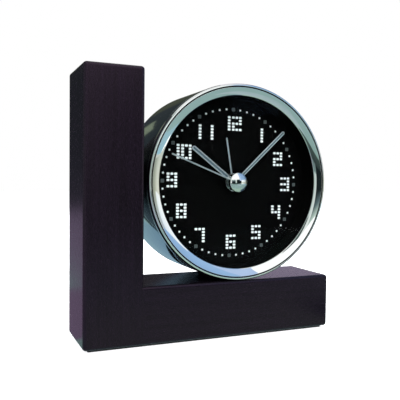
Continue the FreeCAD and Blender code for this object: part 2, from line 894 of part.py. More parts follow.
# ---------------------------------------------------------------- the movement's plates and housing
def pivot_holes(y0, y1, places):
    return [disc(radius + running_fit, y0, y1, x, z) for radius, x, z in places]


def bridge_posts():
    """Where the rear bridge stands on the middle plate: beside the wheels, a post's gap clear."""
    beside = post_radius + post_gap
    centre_reach = tip_radius(centre_wheel_teeth, train_module) + beside
    third_reach = tip_radius(third_wheel_teeth, third_module) + beside
    rotor_reach = rotor_radius + rotor_gap + stator_ring_wall + beside
    posts = [
        polar(centre_reach, -lower_post_angle),
        polar(centre_reach, 180 + lower_post_angle),
        polar(third_reach, left_post_angle),
        polar(rotor_reach, -right_post_angle),
    ]
    middles = [(0, 0), (0, 0), (third_x, third_z), (rotor_x, rotor_z)]
    return [(x + from_x, z + from_z) for (x, z), (from_x, from_z) in zip(posts, middles)]


def make_movement_plates():
    side = cavity_half
    floor_z = bay_top_z + bay_wall
    stems = [(stem_radius, time_x, 0), (stem_radius, alarm_x, 0)]
    middle = block(-side, side, middle_plate_y, middle_plate_back_y, floor_z, side)
    middle_holes = [
        (cannon_radius, 0, 0),
        (pivot_radius, minute_x, 0),
        (pivot_radius, idler_x, 0),
        (pivot_radius, third_x, third_z),
        (pivot_radius, intermediate_x, intermediate_z),
        (pivot_radius, rotor_x, rotor_z),
        *stems,
    ]
    middle = cut_all(middle, pivot_holes(middle_plate_y, middle_plate_back_y, middle_holes))
    save("middle_plate", middle)

    edge = post_radius + bridge_margin
    places = bridge_posts()
    x0 = min(x for x, z in places) - edge
    x1 = max(x for x, z in places) + edge
    top_z = max(z for x, z in places) + edge
    bridge = block(x0, x1, rear_bridge_y, rear_bridge_back_y, floor_z, top_z)
    posts = [disc(post_radius, middle_plate_back_y, rear_bridge_y, x, z) for x, z in places]
    bridge_holes = [
        (second_arbor_radius, 0, 0),
        (pivot_radius, third_x, third_z),
        (pivot_radius, intermediate_x, intermediate_z),
        (pivot_radius, rotor_x, rotor_z),
        (stem_radius, alarm_x, 0),
    ]
    bridge = cut_all(bridge, pivot_holes(rear_bridge_y, rear_bridge_back_y, bridge_holes))
    save("rear_bridge", join([bridge, *posts]))


def make_movement_housing():
    half = movement_half
    front = block(-half, half, dial_back_y, front_plate_back_y, -half, half)
    bush = disc(bush_radius, dial_face_y - bush_stand_out, front_plate_back_y)
    front = join([front, bush]).cut(disc(bush_bore, dial_face_y - bush_stand_out, front_plate_back_y))
    blind = front_plate_back_y - pivot_depth
    front_holes = [
        (pivot_radius, minute_x, 0),
        (pivot_radius, idler_x, 0),
        (stem_radius, time_x, 0),
        (stem_radius, alarm_x, 0),
    ]
    save("movement_front", cut_all(front, pivot_holes(blind, front_plate_back_y, front_holes)))

    side = cavity_half
    y0 = front_plate_back_y
    shell = block(-half, half, y0, movement_back_y, -half, half)
    upper_room = block(-side, side, y0, rear_wall_y, bay_top_z + bay_wall, side)
    bay = block(-side, side, y0, movement_back_y, -side, bay_top_z)
    tools = [upper_room, bay]
    for x in (time_x, alarm_x):
        tools.append(disc(stem_radius + loose_fit, rear_wall_y, movement_back_y, x, 0))
    tools.append(switch_slot(rear_wall_y, movement_back_y))
    tools += sound_holes(rear_wall_y, movement_back_y)
    notch_depth = contact_thickness + contact_gap
    for x in (-side, side - notch_depth):
        notch_y = board_y - board_thickness - contact_tail_width - contact_gap
        tools.append(block(x, x + notch_depth, notch_y, rear_wall_y, bay_top_z, bay_top_z + bay_wall))
    ear_end = mount_back_y + ear_thickness
    reach = ear_size / 2
    ears = []
    for x, z in ear_places():
        ear = block(x - reach, x + reach, mount_back_y, ear_end, z - reach, z + reach)
        ears.append(ear.cut(disc(small_screw_radius + slide_fit, mount_back_y, ear_end, x, z)))
    save("movement_rear", join([cut_all(shell, tools), *ears]))


def ear_places():
    x = movement_half + ear_size / 2
    return [(i * x, j * ear_height) for i in (-1, 1) for j in (-1, 1)]


def switch_slot(y0, y1):
    """The slot that the alarm switch slides in."""
    left = switch_x - switch_width / 2 - loose_fit
    right = switch_x + switch_travel + switch_width / 2 + loose_fit
    half_height = switch_height / 2 + loose_fit
    return block(left, right, y0, y1, switch_z - half_height, switch_z + half_height)


def sound_holes(y0, y1):
    """One hole over the buzzer's middle and a ring of them round it."""
    holes = [disc(sound_hole_radius, y0, y1, buzzer_x, buzzer_z)]
    for step in range(sound_hole_count):
        x, z = polar(sound_hole_circle_radius, 360 / sound_hole_count * step)
        holes.append(disc(sound_hole_radius, y0, y1, buzzer_x + x, buzzer_z + z))
    return holes


def make_electrics():
    """The circuit board along the top of the movement, with its largest components."""
    side = cavity_half - loose_fit
    front = board_y - board_thickness
    board = block(-side, side, front, board_y, board_bottom_z, side)
    board = board.cut(disc(buzzer_radius / 2, front, board_y, buzzer_x, buzzer_z))
    save("circuit_board", board)
    save("buzzer", disc(buzzer_radius, front - buzzer_height, front, buzzer_x, buzzer_z))
    can_start = Vector(crystal_x, front - crystal_radius, crystal_z)
    save("quartz_crystal", Part.makeCylinder(crystal_radius, crystal_length, can_start, Vector(1, 0, 0)))
    chip_z = board_bottom_z + chip_height
    chip_end = crystal_x + chip_width
    chip = block(crystal_x, chip_end, front - chip_thickness, front, chip_z, chip_z + chip_height)
    save("driver_chip", chip)


def make_battery():
    """An AA cell lying along X, and a leaf with a dimple and a tail to the board at each end."""
    z = -battery_below_axis
    board_front = board_y - board_thickness
    start = Vector(-(battery_length + battery_nub_height) / 2, battery_y, z)
    cell = Part.makeCylinder(battery_radius, battery_length, start, Vector(1, 0, 0))
    rims = [edge for edge in cell.Edges if edge.BoundBox.XLength < battery_edge_round]
    cell = cell.makeFillet(battery_edge_round, rims)
    nub_start = start + Vector(battery_length, 0, 0)
    nub = Part.makeCylinder(battery_nub_radius, battery_nub_height, nub_start, Vector(1, 0, 0))
    save("battery", join([cell, nub]))

    half = contact_leaf_size / 2
    ends = (("contact_positive", 1, nub_start.x + battery_nub_height), ("contact_negative", -1, start.x))
    for name, side, cell_end in ends:
        inner = side * (cavity_half - contact_thickness)
        x0, x1 = sorted((side * cavity_half, inner))
        leaf = block(x0, x1, battery_y - half, board_front, z - half, z + half)
        tail = block(x0, x1, board_front - contact_tail_width, board_front, z, contact_tail_top_z)
        dimple_x = min(inner, cell_end)
        height = abs(cell_end - inner)
        dimple_start = Vector(dimple_x, battery_y, z)
        dimple = Part.makeCylinder(contact_dimple_radius, height, dimple_start, Vector(1, 0, 0))
        save(name, join([leaf, tail, dimple]))


# ---------------------------------------------------------------- the mounting ring, back cover and controls
def boss_places():
    return [polar(boss_circle_radius, 90 * i) for i in range(4)]


def make_mount():
    """The plastic ring that carries the movement, with four posts for the back cover's screws."""
    window = movement_half + loose_fit
    ring = disc(case_bore - loose_fit, dial_back_y, mount_back_y)
    ring = ring.cut(block(-window, window, dial_back_y, mount_back_y, -window, window))
    bosses = [disc(boss_radius, mount_back_y, cover_front_y, x, z) for x, z in boss_places()]
    pilots = []
    pilot_start = cover_front_y - cover_screw_grip - pilot_spare
    for x, z in boss_places():
        pilots.append(disc(small_screw_radius + thread_fit, pilot_start, cover_front_y, x, z))
    for x, z in ear_places():
        pilots.append(disc(small_screw_radius + thread_fit, dial_back_y, mount_back_y, x, z))
    save("movement_mount", cut_all(join([ring, *bosses]), pilots))
    seat = mount_back_y + ear_thickness
    save("movement_screws", *[screw(seat, dial_back_y + slide_fit, x, z) for x, z in ear_places()])


def door_limits():
    """The battery door's left, right, top and bottom edges."""
    half = cavity_half - door_side_margin
    return -half, half, bay_top_z, hinge_z


def make_back_cover():
    left, right, top, bottom = door_limits()
    rim_back = case_back_y + cover_flange_thickness
    base = disc(cover_radius, cover_front_y, cover_back_y)
    rim = tube(cover_radius, cover_radius - cover_rim_wall, cover_front_y, rim_back)
    flange = tube(
        cover_radius + cover_flange_width, cover_radius - cover_rim_wall, case_back_y, rim_back
    )
    cover = join([base, rim, flange])
    y0 = cover_front_y
    y1 = cover_back_y
    tools = [
        block(left - door_gap, right + door_gap, y0, y1, bottom - hinge_radius - door_gap, top + door_gap),
    ]
    pin_bore = hinge_pin_radius + running_fit
    reach = hinge_pin_length + slide_fit
    for x in (left - door_gap - reach, right + door_gap):
        tools.append(Part.makeCylinder(pin_bore, reach, Vector(x, hinge_y, bottom), Vector(1, 0, 0)))
    for x in (time_x, alarm_x):
        tools.append(disc(stem_radius + loose_fit, y0, y1, x, 0))
    tools.append(switch_slot(y0, y1))
    tools += sound_holes(y0, y1)
    for x, z in boss_places():
        tools.append(disc(small_screw_radius + slide_fit, y0, y1, x, z))
    save("back_cover", cut_all(cover, tools))
    tip_y = cover_front_y - cover_screw_grip
    save("cover_screws", *[screw(cover_back_y, tip_y, x, z) for x, z in boss_places()])


def make_battery_door():
    """A flat door that swings on a round bar along its lower edge, with a pin at each end."""
    left, right, top, bottom = door_limits()
    y0 = hinge_y - door_thickness / 2
    y1 = hinge_y + door_thickness / 2
    panel = block(left, right, y0, y1, bottom, top)
    grips = []
    for step in range(grip_count):
        z = top - grip_pitch * (step + 2)
        half = grip_length / 2
        grips.append(block(-half, half, y1 - grip_depth, y1, z - grip_pitch / 2, z))
    bar = Part.makeCylinder(hinge_radius, right - left, Vector(left, hinge_y, bottom), Vector(1, 0, 0))
    pin_start = Vector(left - hinge_pin_length, hinge_y, bottom)
    pin_end_to_end = right - left + 2 * hinge_pin_length
    pins = Part.makeCylinder(hinge_pin_radius, pin_end_to_end, pin_start, Vector(1, 0, 0))
    save("battery_door", cut_all(join([panel, bar, pins]), grips))


def make_controls():
    for name, x in (("time_set_knob", time_x), ("alarm_set_knob", alarm_x)):
        y0 = cover_back_y + loose_fit * 2
        y1 = y0 + knob_height
        knob = disc(knob_radius, y0, y1, x, 0)
        rim = [edge for edge in knob.Edges if abs(edge.CenterOfMass.y - y1) < 0.01]
        knob = knob.makeFillet(knob_edge_round, rim)
        flutes = []
        for step in range(knob_flutes):
            dx, dz = polar(knob_radius + knob_flute_setback, 360 * step / knob_flutes)
            flutes.append(disc(knob_flute_radius, y0, y1, x + dx, dz))
        stem = disc(stem_radius, y0, cover_back_y + knob_height, x, 0)
        save(name, cut_all(knob, [stem, *flutes]))

    half_x = switch_width / 2
    half_z = switch_height / 2
    thumb_end = cover_back_y + switch_proud
    thumb = block(
        switch_x - half_x, switch_x + half_x, board_y, thumb_end, switch_z - half_z, switch_z + half_z
    )
    wide = half_x + switch_shoe_overlap
    high = half_z + switch_shoe_overlap
    shoe = block(
        switch_x - wide,
        switch_x + wide,
        board_y,
        rear_wall_y - slide_fit,
        switch_z - high,
        switch_z + high,
    )
    save("alarm_switch", join([thumb, shoe]))


def main():
    os.makedirs("parts", exist_ok=True)
    make_stand()
    clear_holes = make_case_fixing()
    make_case(clear_holes)
    make_bezel()
    make_lens()
    make_dial()
    make_hands()
    make_motion_work()
    make_alarm_work()
    make_going_train()
    make_motor()
    make_alarm_contact()
    make_movement_plates()
    make_movement_housing()
    make_electrics()
    make_battery()
    make_mount()
    make_back_cover()
    make_battery_door()
    make_controls()


main()
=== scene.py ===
# %% [markdown]
# # A desk alarm clock on an L-shaped stand
# A round steel clock case rests in the corner of a dark wooden L. The mechanical model is
# finished: every piece has its true size and place. This lesson gives the pieces their looks.
# Some pieces keep the model's own mesh and only get a finish. Others, where the finish needs a
# finer shape, are made again here, in the same place and at the same size.

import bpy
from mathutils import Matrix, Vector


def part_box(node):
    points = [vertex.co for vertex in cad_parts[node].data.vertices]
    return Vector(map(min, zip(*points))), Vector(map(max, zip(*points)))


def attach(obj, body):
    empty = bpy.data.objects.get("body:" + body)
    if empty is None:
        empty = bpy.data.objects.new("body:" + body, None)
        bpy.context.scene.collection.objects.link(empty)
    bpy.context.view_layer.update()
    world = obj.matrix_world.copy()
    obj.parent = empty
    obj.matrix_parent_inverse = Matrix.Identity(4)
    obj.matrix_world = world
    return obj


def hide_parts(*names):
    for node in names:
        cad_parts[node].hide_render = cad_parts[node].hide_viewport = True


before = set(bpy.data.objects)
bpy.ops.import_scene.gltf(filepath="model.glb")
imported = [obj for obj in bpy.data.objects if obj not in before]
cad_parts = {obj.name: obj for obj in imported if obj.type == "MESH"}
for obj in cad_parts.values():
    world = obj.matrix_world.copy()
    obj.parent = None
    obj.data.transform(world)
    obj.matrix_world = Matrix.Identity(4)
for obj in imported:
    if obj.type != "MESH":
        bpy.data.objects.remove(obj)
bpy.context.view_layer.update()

# %% [markdown]
# ## Units, places and colours
# Blender counts in metres, and a clockmaker in millimetres, so one constant turns the one into
# the other. The dial's axis is the line that nearly everything turns about, so it is read from
# the frame once. Colours are written as the sRGB hex codes that a screen shows, and one
# function turns them into the linear values that a renderer needs.

# %% Units, the dial's axis and colours
import math

import bmesh
import bpy
from mathutils import Matrix, Vector

MM = 0.001
dial_low, dial_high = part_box("dial")
axis_x = (dial_low.x + dial_high.x) / 2
axis_z = (dial_low.z + dial_high.z) / 2
dial_face_y = dial_low.y
dial_middle = Vector((axis_x, 0, axis_z))
to_axis = Matrix.Translation(dial_middle)


def srgb(code):
    """Linear RGBA from a hex code such as #8899AA."""
    shares = [int(code[i : i + 2], 16) / 255 for i in (1, 3, 5)]
    return (*[s / 12.92 if s <= 0.04045 else ((s + 0.055) / 1.055) ** 2.4 for s in shares], 1.0)


print(f"dial axis at x = {axis_x / MM:.2f} mm, z = {axis_z / MM:.2f} mm")

# %% [markdown]
# ## The camera
# The eye stands left of the clock, a quarter of a metre away and level with the dial. A lens
# of 51 mm on a 36 mm wide sensor keeps the round dial almost round. The picture is square,
# and its middle lies a little left of the lens's own, which the small shifts say.

# %% Camera
camera_place = Vector((-107.86, -249.65, 72.79)) * MM
camera_turn = math.radians(23.70)
camera_tilt = math.radians(-2.12)
camera_roll = math.radians(0.635)

forward = Vector(
    (
        math.sin(camera_turn) * math.cos(camera_tilt),
        math.cos(camera_turn) * math.cos(camera_tilt),
        math.sin(camera_tilt),
    )
)
level = Vector((math.cos(camera_turn), -math.sin(camera_turn), 0))
overhead = level.cross(forward)
right = level * math.cos(camera_roll) + overhead * math.sin(camera_roll)
above = overhead * math.cos(camera_roll) - level * math.sin(camera_roll)
facing = Matrix((right, above, -forward)).transposed().to_4x4()

camera_data = bpy.data.cameras.new("camera")
camera_data.lens = 51.16
camera_data.sensor_width = 36
camera_data.shift_x = -0.0169
camera_data.shift_y = 0.0030
camera_data.clip_start = 0.01
camera = bpy.data.objects.new("camera", camera_data)
bpy.context.scene.collection.objects.link(camera)
camera.matrix_world = Matrix.Translation(camera_place) @ facing
bpy.context.scene.camera = camera
bpy.context.scene.view_settings.view_transform = "Standard"
print("the camera looks along", [round(v, 3) for v in forward])

# %% [markdown]
# ## One helper for every node
# A material, a world and a Geometry Nodes group are all trees of nodes. This one function adds
# a node to any of them: it sets the node's own settings, and gives each input either a value
# or the output of an earlier node.


# %% The helper that adds a node
def add(tree, kind, inputs=None, **settings):
    node = tree.nodes.new(kind)
    for name, value in settings.items():
        setattr(node, name, value)
    for name, value in (inputs or {}).items():
        socket = node.inputs[name]
        if isinstance(value, bpy.types.NodeSocket):
            tree.links.new(value, socket)
        else:
            socket.default_value = value
    return node


def empty_material(name):
    material = bpy.data.materials.new(name)
    material.use_nodes = True
    material.node_tree.nodes.clear()
    return material, material.node_tree


# %% [markdown]
# ## The studio
# The room is white for the eye, for reflections and for what is seen through glass. For all
# other rays it is a plain, weaker fill from all sides.


# %% World
def seen_share(tree):
    """1 for rays that the eye follows, also by a mirror or glass, and 0 for all others."""
    rays = add(tree, "ShaderNodeLightPath").outputs
    share = rays["Is Camera Ray"]
    for kind in ("Is Glossy Ray", "Is Transmission Ray"):
        either = add(tree, "ShaderNodeMath", {0: share, 1: rays[kind]}, operation="MAXIMUM")
        share = either.outputs[0]
    return share


world = bpy.data.worlds.new("studio")
bpy.context.scene.world = world
world.use_nodes = True
tree = world.node_tree
tree.nodes.clear()
fill = add(tree, "ShaderNodeBackground", {"Color": srgb("#F4F6FA"), "Strength": 0.4})
white = add(tree, "ShaderNodeBackground", {"Color": (1, 1, 1, 1), "Strength": 1.0})
shares = {0: seen_share(tree), 1: fill.outputs[0], 2: white.outputs[0]}
room = add(tree, "ShaderNodeMixShader", shares)
add(tree, "ShaderNodeOutputWorld", {"Surface": room.outputs[0]})
print("the even fill has strength", fill.inputs["Strength"].default_value)

# %% [markdown]
# ### The floor
# A wide sheet of white paper. It is matt, so it takes the clock's soft shadow. For the eye,
# mirrors and glass it also glows, which lifts it to the white of the room at the horizon, so no
# line shows where paper ends and room begins.

# %% Floor
floor_reach = 3000
floor_lift = 0.7


def new_piece(name, mesh):
    piece = bpy.data.objects.new(name, mesh)
    bpy.context.scene.collection.objects.link(piece)
    return piece


floor_mesh = bpy.data.meshes.new("floor")
square = [(-1, -1), (1, -1), (1, 1), (-1, 1)]
reach = floor_reach * MM
floor_mesh.from_pydata([(x * reach, y * reach, 0) for x, y in square], [], [(0, 1, 2, 3)])
floor = new_piece("floor", floor_mesh)
paper, tree = empty_material("white_paper_sweep")
matt = add(tree, "ShaderNodeBsdfDiffuse", {"Color": srgb("#EFF1F3")})
dark = add(tree, "ShaderNodeEmission", {"Strength": 0.0})
glow = add(tree, "ShaderNodeEmission", {"Color": (1, 1, 1, 1), "Strength": floor_lift})
shares = {0: seen_share(tree), 1: dark.outputs[0], 2: glow.outputs[0]}
lift = add(tree, "ShaderNodeMixShader", shares)
whole = add(tree, "ShaderNodeAddShader", {0: matt.outputs[0], 1: lift.outputs[0]})
add(tree, "ShaderNodeOutputMaterial", {"Surface": whole.outputs[0]})
floor.data.materials.append(paper)
print("the floor reaches", floor_reach, "mm each way")

# %% [markdown]
# ### Cards for the metal to look at
# In an all-white room polished steel looks like paper. Photographers who shoot clocks stand
# coloured and dark cards round them, each where the metal looks. The cards here glow in their own
# colours instead, so the bright and dark patches that metal and glass show are painted reflections.
# A card here is a small grid whose colour blends from corner to corner. Mirrors and glass show it,
# but the camera doesn't see it, and it neither lights nor shades a matt surface. Three kinds of
# place are enough: a patch of the sky round the dial, given by its turn from the front towards the
# right and its rise in degrees, a patch of the table, and a small upright flag.

# %% Cards
# Every card glows in its own colours and only mirrors and glass see it: a painted reflection.
painted_reflection_glow, tree = empty_material("painted_reflection_card")
shade = add(tree, "ShaderNodeAttribute", attribute_name="shade")
glow = add(tree, "ShaderNodeEmission", {"Color": shade.outputs["Color"]})
add(tree, "ShaderNodeOutputMaterial", {"Surface": glow.outputs[0]})


def sky(turn_from, turn_to, rise_from, rise_to, reach=650):
    def place(u, v):
        turn = math.radians(turn_from + (turn_to - turn_from) * u)
        rise = math.radians(rise_from + (rise_to - rise_from) * v)
        level = Vector((math.sin(turn), -math.cos(turn), 0)) * math.cos(rise)
        return dial_middle + (level + Vector((0, 0, math.sin(rise)))) * reach * MM

    return place


def table(x_from, x_to, y_from, y_to, height=0.3):
    def place(u, v):
        x = x_from + (x_to - x_from) * u
        return Vector((x, y_from + (y_to - y_from) * v, height)) * MM

    return place


def flag(x, y_from, y_to, z_from, z_to):
    def place(u, v):
        return Vector((x, y_from + (y_to - y_from) * u, z_from + (z_to - z_from) * v)) * MM

    return place


across, up = 16, 10


def card(name, place, colours, glow=1.0):
    """Colours holds one code, or two (below, above), or four (two below, then two above)."""
    codes = colours.split()
    corners = [Vector(srgb(codes[i * len(codes) // 4])[:3]) * glow for i in range(4)]
    points, shades, faces = [], [], []
    for row in range(up + 1):
        for column in range(across + 1):
            u, v = column / across, row / up
            points.append(place(u, v))
            low = corners[0].lerp(corners[1], u)
            shades.append((*low.lerp(corners[2].lerp(corners[3], u), v), 1))
    for row in range(up):
        for column in range(across):
            first = row * (across + 1) + column
            faces.append((first, first + 1, first + across + 2, first + across + 1))
    mesh = bpy.data.meshes.new(name)
    mesh.from_pydata(points, [], faces)
    attribute = mesh.color_attributes.new("shade", "FLOAT_COLOR", "POINT")
    for datum, colour in zip(attribute.data, shades):
        datum.color = colour
    mesh.materials.append(painted_reflection_glow)
    piece = new_piece(name, mesh)
    piece.visible_camera = False
    piece.visible_diffuse = False
    piece.visible_shadow = False


# %% Cards in front and at the side
card("dark_front", sky(5, 37, -12, 9), "#1C2426 #1A2022 #1C2426 #1A2022")
card("dark_front_top", sky(5, 37, 9, 16.5), "#1C2426 #1A2022 #5C6E6A #5C6E6A")
# A white card a little above white: a painted highlight in the metal and glass, not a window.
card("painted_highlight_window", sky(-3, 5, -3, 16.5), "#D8E4E0 #C4D4D0 #FFFFFF #F4FAF6", 1.1)
card("table_edge", sky(-3, 5, -12, -3), "#202A2C #1C2426 #8CA4A2 #7C9492")
card("dark_left", sky(-26, -3, -12, 3), "#202A2C #1C2426 #222A2C #1E2628")
card("dark_left_top", sky(-26, -3, 3, 9), "#222A2C #1E2628 #768A90 #56686C")
card("left_fade", sky(-26, -3, 9, 16.5), "#768A90 #56686C #E0F5E8 #D4E8DC")
# The brightest card: a painted highlight, seen only in reflections; no lamp stands here.
card("painted_highlight_front", sky(-34, 25, 16.5, 60), "#FFFFFF", 1.4)
card("blue_front", sky(25, 37, 9, 60), "#C6DCFF #BED4FC", 1.05)
card("blue_side", sky(37, 84, 12.5, 60), "#AED2FC #9CC2F0 #A6CCFA #8CAFDC")
# A bright card above white: a painted highlight on the side of the metal, not a lamp.
card("painted_highlight_side", sky(37, 66, 2, 12.5), "#FFFFFF #EAEFEF #FFFFFF #DDE8F4", 1.35)
card("side_fade", sky(66, 86, 2, 12.5), "#D8DAC6 #5C6756 #DCE8F6 #7C8480")
card("cream_side", sky(37, 60, -7, 2), "#D2DED2 #DADFD4 #FFFFF0 #F2F2E2")
card("olive_side", sky(60, 86, -7, 2), "#DADFD4 #6A7466 #E4E6D2 #5C6854")
card("pale_blue_side", sky(37, 76, -17, -7), "#B6DCEC #AAC8D0 #B4D8E6 #A8B8B8")
card("olive_right", sky(86, 140, -20, 12), "#6E7A64 #5E6858 #7C8478 #6A7064")
card("slate_right", sky(84, 140, 12, 60), "#8CAAC8 #43565C #8CAFDC #4C6479")
card("grey_left", sky(-120, -34, -10, 60), "#A0B0AA #A8B8B0 #B0BEC0 #C4D2CC")
print("cards in front and at the side stand")

# %% Cards on the table and behind
card("table_sheet", table(-90, 310, -350, 1100), "#9AB8B2 #A2BFBC #A6C6D2 #A6C6D2")
card("table_right", table(310, 560, -350, 1100), "#A8CCD8 #AED9EC #AED9EC #AED9EC")
card("slate_table", table(70, 300, -70, 600, 0.9), "#4C6479 #5A7078")
card("near_table", table(-60, 110, -100, -17.5, 0.6), "#B0CEBE #B8D6C4")
card("pale_table", table(48, 150, -345, -165, 0.6), "#B4C8CC #C0D2D6 #A8C0C2 #B8CCD0")
# Darker near the stand: the clock's shadow on the table, painted into what the metal reflects.
card("painted_shadow_behind", table(-60, 120, 24, 260, 0.6), "#7A9AB4 #98B6BC")
# Two near-black cards at the back of the stand: painted shade of the stand's unlit faces, shown by
# the metal.
card("painted_shade_base", table(-34, 60, 16.6, 26, 26.4), "#060506")
card("painted_shade_upright", flag(-34.6, 16.6, 23, 26.4, 75), "#060506")
card("table_far_right", table(560, 900, -350, 400), "#F2F3EC #8E9A8E")
card("table_front_left", table(-600, 20, -660, -350), "#303A3C #4A5A56")
card("table_front", table(20, 330, -660, -350), "#303A3C #5E7672 #4A5A56 #8AA4A0")
card("table_left_near", table(-300, -60.8, 5, 125, 0.6), "#9A84A4")
card("table_left_front", table(-1200, -90, -350, 0), "#9AB8B2 #B4B4C8")
card("table_left", table(-1200, -90, 0, 1000), "#9C88A8 #9684A2")
card("table_left_far", table(-1200, -90, 1000, 2900), "#9684A2 #4A4250")
card("back_left", sky(172, 262, -6, 50, 1100), "#32363E #2A2E36 #3A403E #32383A")
card("olive_spot", sky(180.5, 188, 12.5, 21, 1050), "#78826E #8C947E")
card("back_middle_low", sky(158, 172, -6, 11, 1100), "#5A5264 #403A48 #4A4450 #3A3640")
card("back_middle", sky(158, 172, 11, 50, 1100), "#4C5044 #3A3E3C")
card("back_right", sky(108, 158, -6, 40, 1100), "#D8CCE6 #D0C2E0 #C8BADA #C4B4D4")
print("cards on the table and behind lie")

# %% [markdown]
# ### Lamps
# Four soft area lamps light the matt surfaces, the fourth from behind for the back cover.
# Together with the fill they reach the level at which a colour renders about as it is written.
# Reflections see the cards in their place.


# %% Lamps
def lamp(name, place, power, size):
    data = bpy.data.lights.new(name, "AREA")
    data.energy = power
    data.size = size * MM
    piece = bpy.data.objects.new(name, data)
    bpy.context.scene.collection.objects.link(piece)
    piece.location = Vector(place) * MM
    towards = dial_middle - piece.location
    piece.rotation_euler = towards.to_track_quat("-Z", "Y").to_euler()
    piece.visible_glossy = False


lamp("lamp_front", (-250, -700, 650), 8.0, 600)
lamp("lamp_left", (-800, -100, 500), 3.0, 500)
lamp("lamp_top", (100, 150, 900), 5.0, 700)
lamp("lamp_back", (350, 750, 550), 8.0, 600)
print("four soft lamps")

# %% [markdown]
# ## Finishes
# Each finish starts from what the real material is and how its surface was made. A maker's
# description, such as *satin lacquer on beech*, says which numbers the shader needs: whether it
# is a metal, how rough the surface is, and how large its grain is. Most surfaces need the same
# few nodes: a noise whose grain has a real size in millimetres along each axis, which moves
# the colour a little, the gloss a little and the height by a fraction of a millimetre.
# Moulded and stamped edges are never quite sharp, so a soft edge rounds how they shade.


# %% The common finish
def finish(name, dark, pale, rough, grain, depth=0.0, soft_edge=0.0, detail=3.0, **sockets):
    """Grain (along x, y and z), depth and soft_edge are in mm, rough is a range of roughness."""
    material, tree = empty_material(name)
    place = add(tree, "ShaderNodeTexCoord").outputs["Object"]
    inputs = {"Vector": place, "Scale": [1 / (size * MM) for size in grain]}
    scaled = add(tree, "ShaderNodeMapping", inputs)
    inputs = {"Vector": scaled.outputs[0], "Scale": 1.0, "Detail": detail}
    noise = add(tree, "ShaderNodeTexNoise", inputs)
    inputs = {"Value": noise.outputs[0], "From Min": 0.3, "From Max": 0.7}
    share = add(tree, "ShaderNodeMapRange", inputs).outputs[0]
    inputs = {0: share, 6: srgb(dark), 7: srgb(pale)}
    colour = add(tree, "ShaderNodeMix", inputs, data_type="RGBA")
    inputs = {"Value": share, "To Min": rough[0], "To Max": rough[1]}
    gloss = add(tree, "ShaderNodeMapRange", inputs)
    values = {"Base Color": colour.outputs[2], "Roughness": gloss.outputs[0]}
    if soft_edge:
        bevel = add(tree, "ShaderNodeBevel", {"Radius": soft_edge * MM}, samples=4)
        values["Normal"] = bevel.outputs[0]
    if depth:
        height = {"Height": noise.outputs[0], "Distance": depth * MM, "Strength": 1.0}
        if soft_edge:
            height["Normal"] = values["Normal"]
        values["Normal"] = add(tree, "ShaderNodeBump", height).outputs[0]
    values.update({key.replace("_", " "): value for key, value in sockets.items()})
    shader = add(tree, "ShaderNodeBsdfPrincipled", values)
    add(tree, "ShaderNodeOutputMaterial", {"Surface": shader.outputs[0]})
    return material


finishes = {}

# %% [markdown]
# ### Lacquered wood
# The stand is beech under a nearly black satin lacquer with a breath of purple. The eye sees
# hardly any figure, only fine pores that break the gloss, and faint long streaks. The upright's
# grain runs up and the base's runs along, so the finish holds both directions and picks by
# which side of the joint a point is on.

# %% Lacquered wood
upright_low, upright_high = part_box("stand_upright")
base_low, base_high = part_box("stand_base")
lacquer, tree = empty_material("satin_lacquer_on_beech")
place = add(tree, "ShaderNodeTexCoord").outputs["Object"]
parts = add(tree, "ShaderNodeSeparateXYZ", {0: place})
inputs = {0: parts.outputs["X"], 1: upright_high.x}
in_upright = add(tree, "ShaderNodeMath", inputs, operation="LESS_THAN").outputs[0]
streak_length, streak_width = 45 * MM, 1.4 * MM
pore_length, pore_width = 2.2 * MM, 0.3 * MM
patterns = []
for length, width in ((streak_length, streak_width), (pore_length, pore_width)):
    along = []
    for scale in ((1 / length, 1 / width, 1 / width), (1 / width, 1 / width, 1 / length)):
        mapped = add(tree, "ShaderNodeMapping", {"Vector": place, "Scale": scale})
        inputs = {"Vector": mapped.outputs[0], "Scale": 1.0, "Detail": 4.0}
        along.append(add(tree, "ShaderNodeTexNoise", inputs).outputs[0])
    patterns.append(add(tree, "ShaderNodeMix", {0: in_upright, 2: along[0], 3: along[1]}))
streaks, pores = (pattern.outputs[0] for pattern in patterns)
both = add(tree, "ShaderNodeMath", {0: streaks, 1: pores}, operation="ADD").outputs[0]
share = add(tree, "ShaderNodeMapRange", {"Value": both, "From Min": 0.7, "From Max": 1.3})
inputs = {0: share.outputs[0], 6: srgb("#0B080C"), 7: srgb("#130D16")}
colour = add(tree, "ShaderNodeMix", inputs, data_type="RGBA")
inputs = {"Value": pores, "From Min": 0.3, "From Max": 0.7, "To Min": 0.22, "To Max": 0.3}
gloss = add(tree, "ShaderNodeMapRange", inputs)
bump = add(tree, "ShaderNodeBump", {"Height": pores, "Distance": 0.015 * MM, "Strength": 1.0})
inputs = {
    "Base Color": colour.outputs[2],
    "Roughness": gloss.outputs[0],
    "Specular IOR Level": 0.35,
    "Specular Tint": srgb("#E6C4E4"),
    "Normal": bump.outputs[0],
}
shader = add(tree, "ShaderNodeBsdfPrincipled", inputs)
add(tree, "ShaderNodeOutputMaterial", {"Surface": shader.outputs[0]})
finishes["lacquered_wood"] = lacquer
# Bare turned beech: warm, matt, with long fibres.
finishes["plain_wood"] = finish(
    "turned_beech", "#AE8454", "#CDA878", (0.55, 0.7), (30, 1, 1), 0.03, 0.2, 5
)
print("two woods")

# %% [markdown]
# ### Felt and rubber
# Pressed wool felt has hardly any gloss, a fine fuzz and a soft sheen when light skims it.
# Moulded rubber is matt with a faint bloom.

